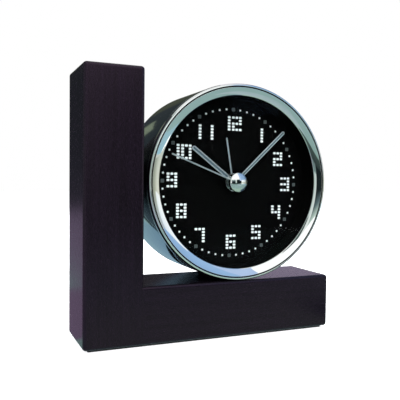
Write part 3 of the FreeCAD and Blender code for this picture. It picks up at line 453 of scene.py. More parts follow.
# %% Felt and rubber
fuzz = {"Sheen_Weight": 0.35, "Sheen_Roughness": 0.6, "Specular_IOR_Level": 0.1}
finishes["felt"] = finish(
    "pressed_wool_felt", "#0F0F12", "#26262C", (0.9, 1), (0.35, 0.35, 0.35), 0.2, detail=6, **fuzz
)
finishes["rubber_black"] = finish(
    "moulded_rubber", "#121212", "#1D1D1E", (0.65, 0.85), (0.8, 0.8, 0.8), 0.01, 0.2
)
print("felt and rubber")

# %% [markdown]
# ### Metals
# A metal's colour is the colour of its mirror image, so the base colour does the work and the
# index of refraction stays at its default. What tells one metal from another is its roughness
# and the direction of its scratches. The case was polished while it turned, so its finest lines
# run round the axis: they are long across the drum and short along it. Chrome plate is smooth,
# and only faint wiping marks change its gloss.

# %% Metals
metal = {"Metallic": 1.0}
# Spun steel, polished on the lathe: a mirror with a faint satin line along the rounds.
finishes["case_steel"] = finish(
    "lathe_polished_steel", "#B4C1C6", "#C0CCD0", (0.07, 0.11), (14, 0.15, 14), 0.0002, **metal
)
# Chrome plate over polished brass: the brightest mirror here.
finishes["bezel_chrome"] = finish(
    "bright_chrome_plate", "#DADEDD", "#DEE2E1", (0.02, 0.045), (7, 7, 7), **metal
)
# Painted shade for the deep faces of the bezel's groove: a dull near-black.
dull = {"Specular_IOR_Level": 0.1}
groove_shade = finish(
    "painted_groove_shade", "#040405", "#0A0A0C", (0.5, 0.65), (0.4, 0.4, 0.4), **dull
)
# Zinc plate on pressed steel: a dull silver with a spangle.
finishes["zinc_steel"] = finish(
    "zinc_plated_steel", "#9AA0A6", "#BDC2C6", (0.25, 0.42), (0.5, 0.5, 0.5), 0.004, 0.12, **metal
)
# Bright turned steel and turned brass: fine rings from the lathe.
turned = (0.16, 0.28), (6, 0.08, 6), 0.001, 0.05
finishes["stem_steel"] = finish("turned_steel", "#A9ADB1", "#BEC1C4", *turned, **metal)
finishes["brass_parts"] = finish("turned_brass", "#B8954C", "#D1AE62", *turned, **metal)
# Nickel on a bronze spring strip, and on the drawn can of the quartz crystal.
finishes["spring_contact"] = finish(
    "nickel_plated_strip", "#BDB8A8", "#D2CDBE", (0.2, 0.3), (3, 3, 3), 0.002, 0.06, **metal
)
finishes["crystal_can"] = finish(
    "drawn_nickel_can", "#B2B3B2", "#C4C5C4", (0.15, 0.25), (0.1, 6, 6), 0.001, 0.1, **metal
)
# Stamped soft iron and pressed ferrite: both grey, grainy and nearly matt.
finishes["core_iron"] = finish(
    "stamped_soft_iron", "#6F7074", "#8E8F92", (0.35, 0.5), (0.8, 0.8, 0.8), 0.004, 0.06, **metal
)
finishes["magnet"] = finish(
    "sintered_ferrite", "#38383A", "#4C4C4E", (0.45, 0.6), (0.2, 0.2, 0.2), 0.006, 0.05, **metal
)
print("nine metals")

# %% [markdown]
# ### Hands
# The hands are stamped from thin aluminium with a satin surface. Their faces glow softly from
# every side, and a channel of slate-grey enamel runs down the middle of the two main ones.

# %% Hand finishes
finishes["hand_silver"] = finish(
    "satin_aluminium", "#C8D4D8", "#DCE6E8", (0.36, 0.48), (0.3, 0.3, 0.3), **metal
)
slate = finish("slate_grey_enamel", "#3C515A", "#4E646D", (0.45, 0.55), (0.2, 0.2, 0.2))
print("satin silver and slate enamel")

# %% [markdown]
# ### Glass, dial paint and ink
# The lens is a flat disc of coated mineral glass. It is clear to look through and faintly green
# at the ground edge, because light runs a long way inside the glass there, and its coating
# keeps reflections weak. The dial is sprayed deep matt black, and the marks are screen printed
# in a cool white ink with a fine tooth, the hour squares in a grey one.

# %% Glass
lens_low, lens_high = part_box("lens")
lens_radius = (lens_high.x - lens_low.x) / 2
green_rim = 1.2 * MM
glass, tree = empty_material("coated_mineral_glass")
place = add(tree, "ShaderNodeTexCoord").outputs["Object"]
centred = add(tree, "ShaderNodeVectorMath", {0: place, 1: dial_middle}, operation="SUBTRACT")
inputs = {0: centred.outputs[0], 1: (1, 0, 1)}
flat = add(tree, "ShaderNodeVectorMath", inputs, operation="MULTIPLY").outputs[0]
radius = add(tree, "ShaderNodeVectorMath", {0: flat}, operation="LENGTH").outputs["Value"]
inputs = {"Value": radius, "From Min": lens_radius - green_rim, "From Max": lens_radius}
rim = add(tree, "ShaderNodeMapRange", inputs)
inputs = {0: rim.outputs[0], 6: srgb("#FFFFFF"), 7: srgb("#BFE0CF")}
colour = add(tree, "ShaderNodeMix", inputs, data_type="RGBA")
inputs = {
    "Base Color": colour.outputs[2],
    "Roughness": 0.0,
    "IOR": 1.5,
    "Transmission Weight": 1.0,
    "Specular Tint": srgb("#1C2228"),
}
shader = add(tree, "ShaderNodeBsdfPrincipled", inputs)
add(tree, "ShaderNodeOutputMaterial", {"Surface": shader.outputs[0]})
finishes["lens_glass"] = glass

# %% Paint and inks
matt = {"Specular_IOR_Level": 0.05}
finishes["dial_black"] = finish(
    "sprayed_matt_black", "#010101", "#040404", (0.6, 0.72), (0.25, 0.25, 0.25), 0.004, **matt
)
tooth = (0.55, 0.65), (0.15, 0.15, 0.15), 0.003
finishes["dial_white"] = finish("screen_printed_white_ink", "#E6F0F0", "#F2FAFA", *tooth)
grey_ink = finish("screen_printed_grey_ink", "#3C4344", "#4C5556", *tooth)
print("glass, paint and two inks")

# %% [markdown]
# ### Plastics, and what is inside
# The back, the knobs and the movement's housing are moulded from black ABS in a spark-eroded
# mould, which leaves an even fine grain and little gloss. The wheels are white acetal, slick
# and slightly translucent. The small electric parts get a finish too, because the clock can be
# taken apart.

# %% Plastics and electric parts
mould_grain = (0.16, 0.16, 0.16)
fine_grain = (0.3, 0.3, 0.3)
finishes["black_plastic"] = finish(
    "moulded_black_abs", "#131314", "#1E1E20", (0.45, 0.6), mould_grain, 0.01, 0.15
)
finishes["switch_red"] = finish(
    "moulded_red_abs", "#A81C16", "#BC241C", (0.28, 0.36), fine_grain, 0.002, 0.15
)
milky = {"Subsurface_Weight": 0.1, "Subsurface_Scale": 0.5 * MM}
finishes["white_acetal"] = finish(
    "moulded_white_acetal", "#DEDCD2", "#ECEAE2", (0.3, 0.4), fine_grain, 0.002, 0.08, **milky
)
finishes["circuit_green"] = finish(
    "glossy_solder_mask", "#0E4A26", "#166233", (0.2, 0.3), (0.6, 0.6, 0.6), 0.006, 0.08
)
finishes["black_component"] = finish(
    "moulded_epoxy", "#111112", "#19191A", (0.35, 0.45), fine_grain, 0.004, 0.08
)
finishes["battery_jacket"] = finish(
    "shrunk_printed_sleeve", "#1C3A66", "#24487C", (0.22, 0.32), (4, 4, 4), 0.01, 0.2
)
print("six plastics")

# %% [markdown]
# ### Enamelled copper wire
# The coil is thousands of turns of hair-thin wire. Real turns are 0.03 mm apart, far too fine to
# show, so the finish draws bands 0.25 mm apart round the bobbin. Each band's colour follows its
# bump, paler on the crest and darker between turns: a painted highlight and shade.

# %% Copper wire
wire_pitch = 0.25 * MM
wire, tree = empty_material("enamelled_copper_wire")
place = add(tree, "ShaderNodeTexCoord").outputs["Object"]
# A wave texture repeats every pi / 10 of its scaled place.
scale = math.pi / (10 * wire_pitch)
inputs = {"Vector": place, "Scale": scale, "Distortion": 0.3, "Detail": 1.0}
turns = add(tree, "ShaderNodeTexWave", inputs, bands_direction="X").outputs["Fac"]
# Pale on each turn's crest and dark between turns: painted highlight and shade.
inputs = {0: turns, 6: srgb("#8A4018"), 7: srgb("#C8713A")}
colour = add(tree, "ShaderNodeMix", inputs, data_type="RGBA")
bump = add(tree, "ShaderNodeBump", {"Height": turns, "Distance": 0.05 * MM})
inputs = {
    "Base Color": colour.outputs[2],
    "Metallic": 1.0,
    "Roughness": 0.3,
    "Coat Weight": 0.5,
    "Normal": bump.outputs[0],
}
shader = add(tree, "ShaderNodeBsdfPrincipled", inputs)
add(tree, "ShaderNodeOutputMaterial", {"Surface": shader.outputs[0]})
finishes["copper_wire"] = wire
print(len(finishes), "finishes in all")

# %% [markdown]
# ### Giving the model's own pieces their finish
# Each piece of the frame carries the name of its material slot, so a loop hands out the
# finishes. The lens casts no shadow, because a lamp's light goes straight through clear glass.
# The ring between dial and lens is sprayed with the dial, so that it vanishes into it.

# %% Finishes for the frame's pieces
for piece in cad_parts.values():
    for slot in piece.material_slots:
        slot.material = finishes[slot.material.name]
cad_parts["lens"].visible_shadow = False
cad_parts["dial_ring"].material_slots[0].material = finishes["dial_black"]
print("every piece of the frame has a finish")

# %% [markdown]
# ## Helpers that keep a mesh
# Modifiers make a shape, and keep() keeps what they made: it takes the evaluated mesh, merges
# doubles, points the faces outwards and drops the modifiers, so a plain mesh is left on an
# object at the origin. Faces are smooth and meet in a sharp line wherever the surface turns by
# more than 30 degrees. settle() then tells the frame where the piece belongs.

# %% Keep and settle
sharp_angle = math.radians(30)
weld = 0.002 * MM


def evaluated(piece):
    state = bpy.context.evaluated_depsgraph_get()
    return bpy.data.meshes.new_from_object(piece.evaluated_get(state))


def keep(piece, *materials, flat_faces=False):
    made = evaluated(piece)
    piece.modifiers.clear()
    work = bmesh.new()
    work.from_mesh(made)
    bmesh.ops.remove_doubles(work, verts=work.verts, dist=weld)
    bmesh.ops.recalc_face_normals(work, faces=work.faces)
    work.to_mesh(made)
    work.free()
    if materials:
        made.materials.clear()
        for material in materials:
            made.materials.append(material)
    made.shade_smooth()
    made.set_sharp_from_angle(angle=sharp_angle)
    piece.data = made
    if flat_faces:
        piece.modifiers.new("large faces stay flat", "WEIGHTED_NORMAL").keep_sharp = True
        piece.data = evaluated(piece)
        piece.modifiers.clear()


def settle(piece, body, slot, *nodes):
    """Puts a finished piece on its body, in the place of the frame's own pieces."""
    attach(piece, body)
    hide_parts(*nodes)
    print(f"{piece.name}: {len(piece.data.polygons)} faces")


# %% [markdown]
# ## The stand
# Two boards, dowelled and lacquered as one: the lacquer fills the joint, so the eye sees a
# single L with softly rounded edges. The L is drawn as six corners, pulled to its depth, and
# every edge but the inner corner gets a 1.5 mm round. A shallow recess takes the rubber saddle
# that the case rests on.

# %% Outline of the stand
edge_round = 1.5 * MM
corners = [
    (upright_low.x, base_low.z),
    (base_high.x, base_low.z),
    (base_high.x, base_high.z),
    (upright_high.x, base_high.z),
    (upright_high.x, upright_high.z),
    (upright_low.x, upright_high.z),
]
work = bmesh.new()
front_face = work.faces.new([work.verts.new((x, upright_low.y, z)) for x, z in corners])
pulled = bmesh.ops.extrude_face_region(work, geom=[front_face])["geom"]
moved = [item for item in pulled if isinstance(item, bmesh.types.BMVert)]
bmesh.ops.translate(work, verts=moved, vec=(0, upright_high.y - upright_low.y, 0))
weights = work.edges.layers.float.new("bevel_weight_edge")
for edge in work.edges:
    middle = (edge.verts[0].co + edge.verts[1].co) / 2
    inner_corner = abs(middle.x - upright_high.x) < weld and abs(middle.z - base_high.z) < weld
    edge[weights] = 0.0 if inner_corner else 1.0
bmesh.ops.recalc_face_normals(work, faces=work.faces)
stand_mesh = bpy.data.meshes.new("stand")
work.to_mesh(stand_mesh)
work.free()
stand = new_piece("stand", stand_mesh)
print("the L stands", round(upright_high.z / MM, 1), "mm high")

# %% Rounds and the recess
rounding = stand.modifiers.new("rounded edges", "BEVEL")
rounding.width = edge_round
rounding.segments = 6
rounding.limit_method = "WEIGHT"
saddle_low, saddle_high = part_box("saddle_pad")
recess_height = 20 * MM
recess_size = Vector((saddle_high.x - saddle_low.x, saddle_high.y - saddle_low.y, recess_height))
recess_middle = (saddle_low + saddle_high) / 2
recess_middle.z = saddle_low.z + recess_height / 2
work = bmesh.new()
bmesh.ops.create_cube(work, size=1)
work.transform(Matrix.Translation(recess_middle) @ Matrix.Diagonal((*recess_size, 1)))
recess_mesh = bpy.data.meshes.new("recess")
work.to_mesh(recess_mesh)
work.free()
recess = new_piece("recess", recess_mesh)
cut = stand.modifiers.new("recess for the saddle", "BOOLEAN")
cut.object = recess
keep(stand, finishes["lacquered_wood"], flat_faces=True)
bpy.data.objects.remove(recess)
settle(stand, "clock_body", "lacquered_wood", "stand_upright", "stand_base")

# %% [markdown]
# ## Turned pieces
# The drum, the bezel and the domed cap are all turned on a lathe, so each is one outline spun
# about the dial's axis. Blender's Screw modifier is that lathe. Outlines are lists of corners,
# each with the radius of its round, because no turned edge is ever perfectly sharp and those
# tiny rounds are what draws the bright lines on chrome.


# %% Outlines with rounded corners, and the lathe
def rounded(corners, steps=5):
    """Turns each corner (radius from the axis, y, round), in mm, into an arc."""
    outline = []
    for i, (r, y, radius) in enumerate(corners):
        here = Vector((r, y))
        back = (Vector(corners[i - 1][:2]) - here).normalized()
        on = (Vector(corners[(i + 1) % len(corners)][:2]) - here).normalized()
        if radius == 0:
            outline.append(here)
            continue
        half = back.angle(on) / 2
        centre = here + (back + on).normalized() * radius / math.sin(half)
        first = here + back * radius / math.tan(half) - centre
        last = here + on * radius / math.tan(half) - centre
        for step in range(steps + 1):
            outline.append(centre + first.lerp(last, step / steps).normalized() * radius)
    return outline


def lathe(name, outline, *materials, closed=True, steps=240):
    count = len(outline)
    mesh = bpy.data.meshes.new(name)
    edges = [(i, (i + 1) % count) for i in range(count if closed else count - 1)]
    mesh.from_pydata([(r * MM, y * MM, 0) for r, y in outline], edges, [])
    piece = new_piece(name, mesh)
    spin = piece.modifiers.new("lathe", "SCREW")
    spin.axis = "Y"
    spin.steps = spin.render_steps = steps
    spin.use_merge_vertices = True
    spin.merge_threshold = weld
    keep(piece, *materials)
    return piece


# %% Drum
case_low, case_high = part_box("drum_case")
case_radius = (case_high.x - case_low.x) / 2 / MM
case_front = case_low.y / MM
case_back = case_high.y / MM
case_wall = 0.8
case_bore = case_radius - case_wall
back_lip = 2.0
lip_bore = case_bore - back_lip
drum_outline = [
    (case_radius, case_front, 0.12),
    (case_radius, case_back, 0.6),
    (lip_bore, case_back, 0.2),
    (lip_bore, case_back - case_wall, 0.1),
    (case_bore, case_back - case_wall, 0.3),
    (case_bore, case_front, 0.1),
]
drum = lathe("drum", rounded(drum_outline), finishes["case_steel"])
drum.data.transform(to_axis)
settle(drum, "clock_body", "case_steel", "drum_case")

# %% [markdown]
# ### The bezel
# From outside in: a lip with a long shoulder, a fine groove, a flange that falls back towards the
# glass in a shallow dish, and a narrow bright bevel. Behind these, hidden, are the seat of the lens
# and the skirt that slides into the drum. The deep faces of the groove get a dull near-black
# material of their own: painted shade that draws the groove as a dark line.

# %% Bezel
bezel_low, bezel_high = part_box("bezel")
bezel_front = bezel_low.y / MM
bezel_back = bezel_high.y / MM
lens_front = lens_low.y / MM
lens_back = lens_high.y / MM
window = 40.0
play = 0.05
lip_width = 1.3
groove_width = 0.5
groove_depth = 0.9
shade_depth = 0.3
shoulder_in = 1.12
shoulder_back = 2.2
shoulder_steps = 12
inner_round = 0.16
groove_outer = case_radius - lip_width
groove_inner = groove_outer - groove_width
bevel = 0.25
flange_inner = window + bevel
flange_setback = 0.2
flange_front = bezel_front + flange_setback
flange_back = lens_front - bevel
dish_depth = 0.14
dish_steps = 10
shoulder = []
for step in range(shoulder_steps + 1):
    turn = math.pi / 2 * step / shoulder_steps
    r = case_radius - shoulder_in * (1 - math.cos(turn))
    shoulder.append((r, bezel_front + shoulder_back * (1 - math.sin(turn)), 0))
flange = []
for step in range(1, dish_steps):
    share = step / dish_steps
    r = groove_inner + (flange_inner - groove_inner) * share
    y = flange_front + (flange_back - flange_front) * share + dish_depth * 4 * share * (1 - share)
    flange.append((r, y, 0))
pocket = lens_radius / MM + play
skirt_wall = 2.35
skirt_outer = case_bore - play
skirt_inner = skirt_outer - skirt_wall
bezel_outline = [
    (case_radius, case_front, 0.12),
    *shoulder,
    (groove_outer, bezel_front, inner_round),
    (groove_outer, bezel_front + groove_depth, 0.06),
    (groove_inner, bezel_front + groove_depth, 0.06),
    (groove_inner, flange_front, 0.1),
    *flange,
    (flange_inner, flange_back, 0.05),
    (window, lens_front, 0.04),
    (pocket, lens_front, 0),
    (pocket, lens_back, 0),
    (skirt_inner, lens_back, 0.1),
    (skirt_inner, bezel_back, 0.2),
    (skirt_outer, bezel_back, 0.2),
    (skirt_outer, case_front, 0),
]
chrome = finishes["bezel_chrome"]
bezel = lathe("bezel_ring", rounded(bezel_outline, steps=6), chrome, steps=300)
bezel.data.materials.append(groove_shade)
# Faces deep in the groove take the painted shade.
for polygon in bezel.data.polygons:
    middle = polygon.center / MM
    in_groove = groove_inner - play < math.hypot(middle.x, middle.z) < groove_outer + play
    if in_groove and shade_depth < middle.y - bezel_front < groove_depth + 0.1:
        polygon.material_index = 1
bezel.data.transform(to_axis)
settle(bezel, "clock_body", "bezel_chrome", "bezel")

# %% [markdown]
# ### The domed cap
# The cap on the second hand is a button: a straight side under a low dome. Its outline starts
# and ends on the axis, so the lathe closes it at two poles.

# %% Centre cap
cap_low, cap_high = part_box("centre_cap")
cap_radius = (cap_high.x - cap_low.x) / 2 / MM
cap_front = cap_low.y / MM
cap_back = cap_high.y / MM
cap_rim = 1.75
dome_height = cap_back - cap_rim - cap_front
dome_radius = (cap_radius**2 + dome_height**2) / (2 * dome_height)
dome_angle = math.asin(cap_radius / dome_radius)
dome_steps = 24
outline = []
for step in range(dome_steps):
    angle = dome_angle * step / dome_steps
    outline.append((dome_radius * math.sin(angle), cap_front + dome_radius * (1 - math.cos(angle))))
rim_corners = [
    (0, cap_front, 0),
    (cap_radius, cap_back - cap_rim - 0.02, 0.2),
    (cap_radius, cap_back, 0.1),
    (0, cap_back, 0),
]
outline += [tuple(point) for point in rounded(rim_corners, 3)[1:]]
cap = lathe("domed_cap", outline, chrome, closed=False, steps=96)
cap.data.transform(to_axis)
settle(cap, "second_body", "bezel_chrome", "centre_cap")

# %% [markdown]
# ## The dial's print
# Every mark on the dial is one small printed shape, repeated: 48 round minute dots, 12 hour
# squares and the dots that make up the numerals. That is work for Geometry Nodes. A mesh with
# one vertex per mark goes in, and the tree puts a slightly rounded tablet of ink on each: a
# rectangle, its corners rounded, filled and raised. One tree does all three jobs with its named
# inputs. The ring of minutes sits a degree clockwise of true.
#
# The knobs further on are made in the same way, so the start and the end of a tree are two
# functions. The end closes the raised shape with the face it was raised from, places a copy at
# each vertex, and ends in Realize Instances and Set Material, so the result is an ordinary mesh.


# %% The start and the end of a tree
def new_tree(name, inputs):
    """A tree that is given places, the inputs (name: kind of value) and a material."""
    tree = bpy.data.node_groups.new(name, "GeometryNodeTree")
    for label, kind in {"Places": "Geometry", **inputs, "Material": "Material"}.items():
        tree.interface.new_socket(label, in_out="INPUT", socket_type="NodeSocket" + kind)
    tree.interface.new_socket("Pieces", in_out="OUTPUT", socket_type="NodeSocketGeometry")
    return tree, add(tree, "NodeGroupInput").outputs


def close_tree(tree, given, face, raised, turn):
    """Turn is the angle about x that stands the shape up."""
    under = add(tree, "GeometryNodeFlipFaces", {"Mesh": face})
    whole = add(tree, "GeometryNodeJoinGeometry")
    for half in (raised, under.outputs[0]):
        tree.links.new(half, whole.inputs[0])
    inputs = {"Geometry": whole.outputs[0], "Distance": weld}
    welded = add(tree, "GeometryNodeMergeByDistance", inputs)
    inputs = {"Geometry": welded.outputs[0], "Rotation": (turn, 0, 0)}
    upright = add(tree, "GeometryNodeTransform", inputs)
    inputs = {"Points": given["Places"], "Instance": upright.outputs[0]}
    placed = add(tree, "GeometryNodeInstanceOnPoints", inputs)
    real = add(tree, "GeometryNodeRealizeInstances", {"Geometry": placed.outputs[0]})
    inputs = {"Geometry": real.outputs[0], "Material": given["Material"]}
    painted = add(tree, "GeometryNodeSetMaterial", inputs)
    add(tree, "NodeGroupOutput", {"Pieces": painted.outputs[0]})
    print(tree.name, "has", len(tree.nodes), "nodes")


# %% The tree that prints tablets of ink
tablet_sizes = dict.fromkeys(("Width", "Height", "Corner", "Thickness"), "Float")
print_tree, given = new_tree("print_tablets", tablet_sizes)
inputs = {"Width": given["Width"], "Height": given["Height"]}
rectangle = add(print_tree, "GeometryNodeCurvePrimitiveQuadrilateral", inputs)
inputs = {"Curve": rectangle.outputs[0], "Radius": given["Corner"]}
inputs.update({"Count": 3, "Limit Radius": True})
softened = add(print_tree, "GeometryNodeFilletCurve", inputs, mode="POLY").outputs[0]
face = add(print_tree, "GeometryNodeFillCurve", {"Curve": softened}, mode="NGONS").outputs[0]
inputs = {"Mesh": face, "Offset Scale": given["Thickness"], "Individual": False}
raised = add(print_tree, "GeometryNodeExtrudeMesh", inputs, mode="FACES")
close_tree(print_tree, given, face, raised.outputs[0], math.pi / 2)


# %% Running a tree
def grow(name, mesh, tree, **values):
    """Runs a tree on a mesh with the given named inputs and keeps the result."""
    piece = new_piece(name, mesh)
    modifier = piece.modifiers.new("grow", "NODES")
    modifier.node_group = tree
    for item in tree.interface.items_tree:
        if item.in_out == "INPUT" and item.name in values:
            modifier[item.identifier] = values[item.name]
    keep(piece)
    # A mesh that a tree draws from nothing has an empty material slot before its own.
    if piece.data.materials[0] is None:
        piece.data.materials.pop(index=0)
    return piece


ink_thickness = 0.06


def print_marks(name, places, width, height, corner, ink):
    """Prints one tablet at each place (x, z), in mm from the dial's axis."""
    mesh = bpy.data.meshes.new(name)
    points = [(axis_x + x * MM, dial_face_y, axis_z + z * MM) for x, z in places]
    mesh.from_pydata(points, [], [])
    sizes = {"Width": width, "Height": height, "Corner": corner, "Thickness": ink_thickness}
    sizes = {label: size * MM for label, size in sizes.items()}
    marks = grow(name, mesh, print_tree, Material=ink, **sizes)
    settle(marks, "clock_body", "dial_white", "dial_print")


# %% Minute dots and hour squares
track_radius = 34.9
print_turn = 1.1
print_shift = (-0.15, -0.22)
minute_dot = 1.0
hour_square = 1.7
square_corner = 0.3
white_ink = finishes["dial_white"]
track = []
for minute in range(60):
    angle = math.radians(6 * minute + print_turn)
    x = print_shift[0] + track_radius * math.sin(angle)
    track.append((x, print_shift[1] + track_radius * math.cos(angle)))
minutes = [place for minute, place in enumerate(track) if minute % 5]
print_marks("minute_dots", minutes, minute_dot, minute_dot, minute_dot / 2, white_ink)
print_marks("hour_squares", track[::5], hour_square, hour_square, square_corner, grey_ink)

# %% [markdown]
# ### The numerals
# Each digit is a grid of dots three wide and five high, except the 1, which is one column. The
# digits stand upright and were set by eye, not on a circle, so their places are listed.

# %% Numerals
dot_width = 1.46
dot_height = 1.08
dot_corner = 0.42
pitch_x = 1.88
pitch_z = 1.44
GLYPHS = {
    "0": ("###", "# #", "# #", "# #", "###"),
    "1": ("#", "#", "#", "#", "#"),
    "2": ("###", "  #", "###", "#  ", "###"),
    "3": ("###", "  #", "###", "  #", "###"),
    "4": ("# #", "# #", "###", "  #", "  #"),
    "5": ("###", "#  ", "###", "  #", "###"),
    "6": ("###", "#  ", "###", "# #", "###"),
    "7": ("###", "  #", "  #", "  #", "  #"),
    "8": ("###", "# #", "###", "# #", "###"),
    "9": ("###", "# #", "###", "  #", "###"),
}
NUMERALS = (
    ("1", -1.67, 28.04),
    ("2", 2.40, 28.03),
    ("1", 16.12, 23.01),
    ("2", 25.25, 11.67),
    ("3", 29.56, -0.75),
    ("4", 24.59, -14.65),
    ("5", 13.58, -24.28),
    ("6", -0.14, -28.57),
    ("7", -16.34, -24.95),
    ("8", -25.68, -13.39),
    ("9", -30.44, 0.80),
    ("1", -27.53, 14.00),
    ("0", -23.43, 13.89),
    ("1", -16.70, 23.45),
    ("1", -10.53, 23.35),
)
dots = []
for digit, x, z in NUMERALS:
    for row, cells in enumerate(GLYPHS[digit]):
        for column, cell in enumerate(cells):
            if cell == "#":
                dot_x = x + (column - (len(cells) - 1) / 2) * pitch_x
                dots.append((dot_x, z + (2 - row) * pitch_z))
print_marks("numerals", dots, dot_width, dot_height, dot_corner, white_ink)
print(len(dots), "dots make", len(NUMERALS), "digits")

# %% [markdown]
# ## The hands
# A hand is one cross-section carried round a path: up one side, round the tip and down the
# other. The section has a chamfered edge and, on the hour and minute hands, half of the slate
# channel, so the channel gets its round end for free. The round boss in the middle is a turned
# ring of its own. On the hour hand it is wide and polished, which is the thin light crescent
# that shows behind the cap.


# %% The blade of a hand
channel_depth = 0.1
tip_steps = 14


def blade(name, front, back, length, width, channel):
    """A baton along +Z from the axis. All in mm. Faces of the channel get material 1."""
    half = width / 2
    chamfer = min(0.1, half / 3)
    edge_break = 0.03
    section = [(0.0, front)]
    if channel:
        floor_y = front + channel_depth
        section = [(0.0, floor_y), (channel / 2, floor_y), (channel / 2 + edge_break, front)]
    section += [(half - chamfer, front), (half, front + chamfer)]
    section += [(half, back - edge_break), (half - edge_break, back), (0.0, back)]
    tip = length - half
    stations = [(0.0, 1.0, 0.0)]
    for step in range(tip_steps + 1):
        angle = math.pi * step / tip_steps
        stations.append((tip, math.cos(angle), math.sin(angle)))
    stations.append((0.0, -1.0, 0.0))
    work = bmesh.new()
    rows = []
    for z, sideways, along in stations:
        points = [Vector((u * sideways, y, z + u * along)) * MM for u, y in section]
        rows.append([work.verts.new(point) for point in points])
    for one, two in zip(rows, rows[1:]):
        for i in range(len(section) - 1):
            quad = work.faces.new((one[i], one[i + 1], two[i + 1], two[i]))
            quad.material_index = 1 if channel and i < 2 else 0
    mesh = bpy.data.meshes.new(name)
    work.to_mesh(mesh)
    work.free()
    return mesh


# %% Blade and boss together
hand_finishes = (finishes["hand_silver"], slate, chrome)
wide_boss = 4.0


def hand(name, node, body, length, width, clockwise, boss_radius, bore, channel):
    """Clockwise is in degrees from 12. A wide boss is polished like the cap."""
    low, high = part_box(node)
    front, back = low.y / MM, high.y / MM
    mesh = blade(name, front, back, length, width, channel)
    corners = [(bore, front, 0.05), (boss_radius, front, 0.09)]
    corners += [(boss_radius, back, 0.05), (bore, back, 0.03)]
    boss = lathe(name + "_boss", rounded(corners, 3), steps=72)
    for polygon in boss.data.polygons:
        polygon.material_index = 2 if boss_radius > wide_boss else 0
    work = bmesh.new()
    work.from_mesh(mesh)
    work.from_mesh(boss.data)
    work.transform(to_axis @ Matrix.Rotation(math.radians(clockwise), 4, "Y"))
    work.to_mesh(mesh)
    work.free()
    bpy.data.objects.remove(boss)
    for material in hand_finishes:
        mesh.materials.append(material)
    piece = new_piece(name, mesh)
    keep(piece)
    settle(piece, body, "hand_silver", node)


# %% Four hands
for kind, length, width, clockwise, boss_radius, bore, channel in (
    ("alarm", 21.4, 0.75, 350.5, 3.0, 2.12, 0.0),
    ("hour", 26.9, 2.1, 307.3, 4.3, 1.57, 0.9),
    ("minute", 36.1, 1.7, 46.6, 3.0, 1.0, 0.6),
    ("second", 35.0, 0.7, 291.2, 3.0, 0.45, 0.0),
):
    names = kind + "_baton", kind + "_hand", kind + "_body"
    hand(*names, length, width, clockwise, boss_radius, bore, channel)

# %% [markdown]
# ## The two knobs
# The time and alarm knobs on the back are moulded, with flutes round the side for the fingers,
# a rounded edge and a shallow dish on top. A rule makes the shape, so Geometry Nodes suit it: a
# disc whose rim is pulled in at every flute, raised in steps that shrink along a quarter round.
# The same tree serves both knobs.

# %% The tree that makes a fluted knob
knob_sizes = {"Flutes": "Int", "Radius": "Float", "Flute Depth": "Float", "Height": "Float"}
knob_tree, given = new_tree("fluted_knob", knob_sizes)
corners_per_flute = 10.0
inputs = {0: given["Flutes"], 1: corners_per_flute}
corners_round = add(knob_tree, "ShaderNodeMath", inputs, operation="MULTIPLY")
inputs = {"Vertices": corners_round.outputs[0], "Radius": given["Radius"]}
disc = add(knob_tree, "GeometryNodeMeshCircle", inputs, fill_type="NGON")
place = add(knob_tree, "GeometryNodeInputPosition").outputs[0]
sides = add(knob_tree, "ShaderNodeSeparateXYZ", {0: place}).outputs
turn = add(knob_tree, "ShaderNodeMath", {0: sides["Y"], 1: sides["X"]}, operation="ARCTAN2")
inputs = {0: turn.outputs[0], 1: given["Flutes"]}
phase = add(knob_tree, "ShaderNodeMath", inputs, operation="MULTIPLY")
wave = add(knob_tree, "ShaderNodeMath", {0: phase.outputs[0]}, operation="COSINE")
hollow = add(knob_tree, "ShaderNodeMath", {0: wave.outputs[0], 1: 0.0}, operation="MAXIMUM")
inputs = {0: hollow.outputs[0], 1: given["Flute Depth"]}
pull = add(knob_tree, "ShaderNodeMath", inputs, operation="MULTIPLY")
outward = add(knob_tree, "ShaderNodeVectorMath", {0: place}, operation="NORMALIZE")
inputs = {0: outward.outputs[0], "Scale": pull.outputs[0]}
inward = add(knob_tree, "ShaderNodeVectorMath", inputs, operation="SCALE")
inputs = {0: place, 1: inward.outputs[0]}
rim = add(knob_tree, "ShaderNodeVectorMath", inputs, operation="SUBTRACT")
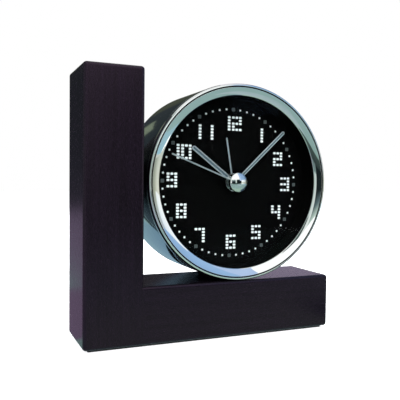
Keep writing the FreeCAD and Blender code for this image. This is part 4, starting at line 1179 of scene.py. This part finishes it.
inputs = {"Geometry": disc.outputs[0], "Position": rim.outputs[0]}
fluted = add(knob_tree, "GeometryNodeSetPosition", inputs)
print("the rim is drawn")

# %% Raising the knob in steps
# The radius is the nominal one. It only gives each step of the edge its share of the width.
knob_radius = 6.0
knob_edge = 0.6
knob_dish = 0.45
edge_steps = 5
inputs = {0: given["Height"], 1: knob_edge * MM}
side = add(knob_tree, "ShaderNodeMath", inputs, operation="SUBTRACT")
knob_steps = [(side.outputs[0], 1.0)]
for step in range(edge_steps):
    low, high = (math.radians(90 * (step + i) / edge_steps) for i in (0, 1))
    width = [knob_radius - knob_edge * (1 - math.cos(angle)) for angle in (low, high)]
    knob_steps.append((knob_edge * (math.sin(high) - math.sin(low)) * MM, width[1] / width[0]))
# The dish: a flat ring, then 70 and 30 % of its depth, each with its share of the last width.
for depth, width in ((0.0, 0.88), (0.7, 0.94), (0.3, 0.85)):
    knob_steps.append((-depth * knob_dish * MM, width))
shape, top = fluted.outputs[0], None
for rise, width in knob_steps:
    inputs = {"Mesh": shape, "Offset Scale": rise, "Individual": False}
    if top is not None:
        inputs["Selection"] = top
    raised = add(knob_tree, "GeometryNodeExtrudeMesh", inputs, mode="FACES")
    shape, top = raised.outputs["Mesh"], raised.outputs["Top"]
    inputs = {"Geometry": shape, "Selection": top, "Scale": width}
    shape = add(knob_tree, "GeometryNodeScaleElements", inputs).outputs[0]
close_tree(knob_tree, given, fluted.outputs[0], shape, -math.pi / 2)

# %% Two knobs
knob_flutes = 20
flute_depth = 0.5
for job in ("time", "alarm"):
    name, node = job + "_knob", job + "_set_knob"
    low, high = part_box(node)
    middle = (low + high) / 2
    mesh = bpy.data.meshes.new(name)
    mesh.from_pydata([(middle.x, low.y, middle.z)], [], [])
    sizes = {
        "Flutes": knob_flutes,
        "Radius": (high.z - low.z) / 2,
        "Flute Depth": flute_depth * MM,
        "Height": high.y - low.y,
        "Material": finishes["black_plastic"],
    }
    settle(grow(name, mesh, knob_tree, **sizes), name + "_body", "black_plastic", node)
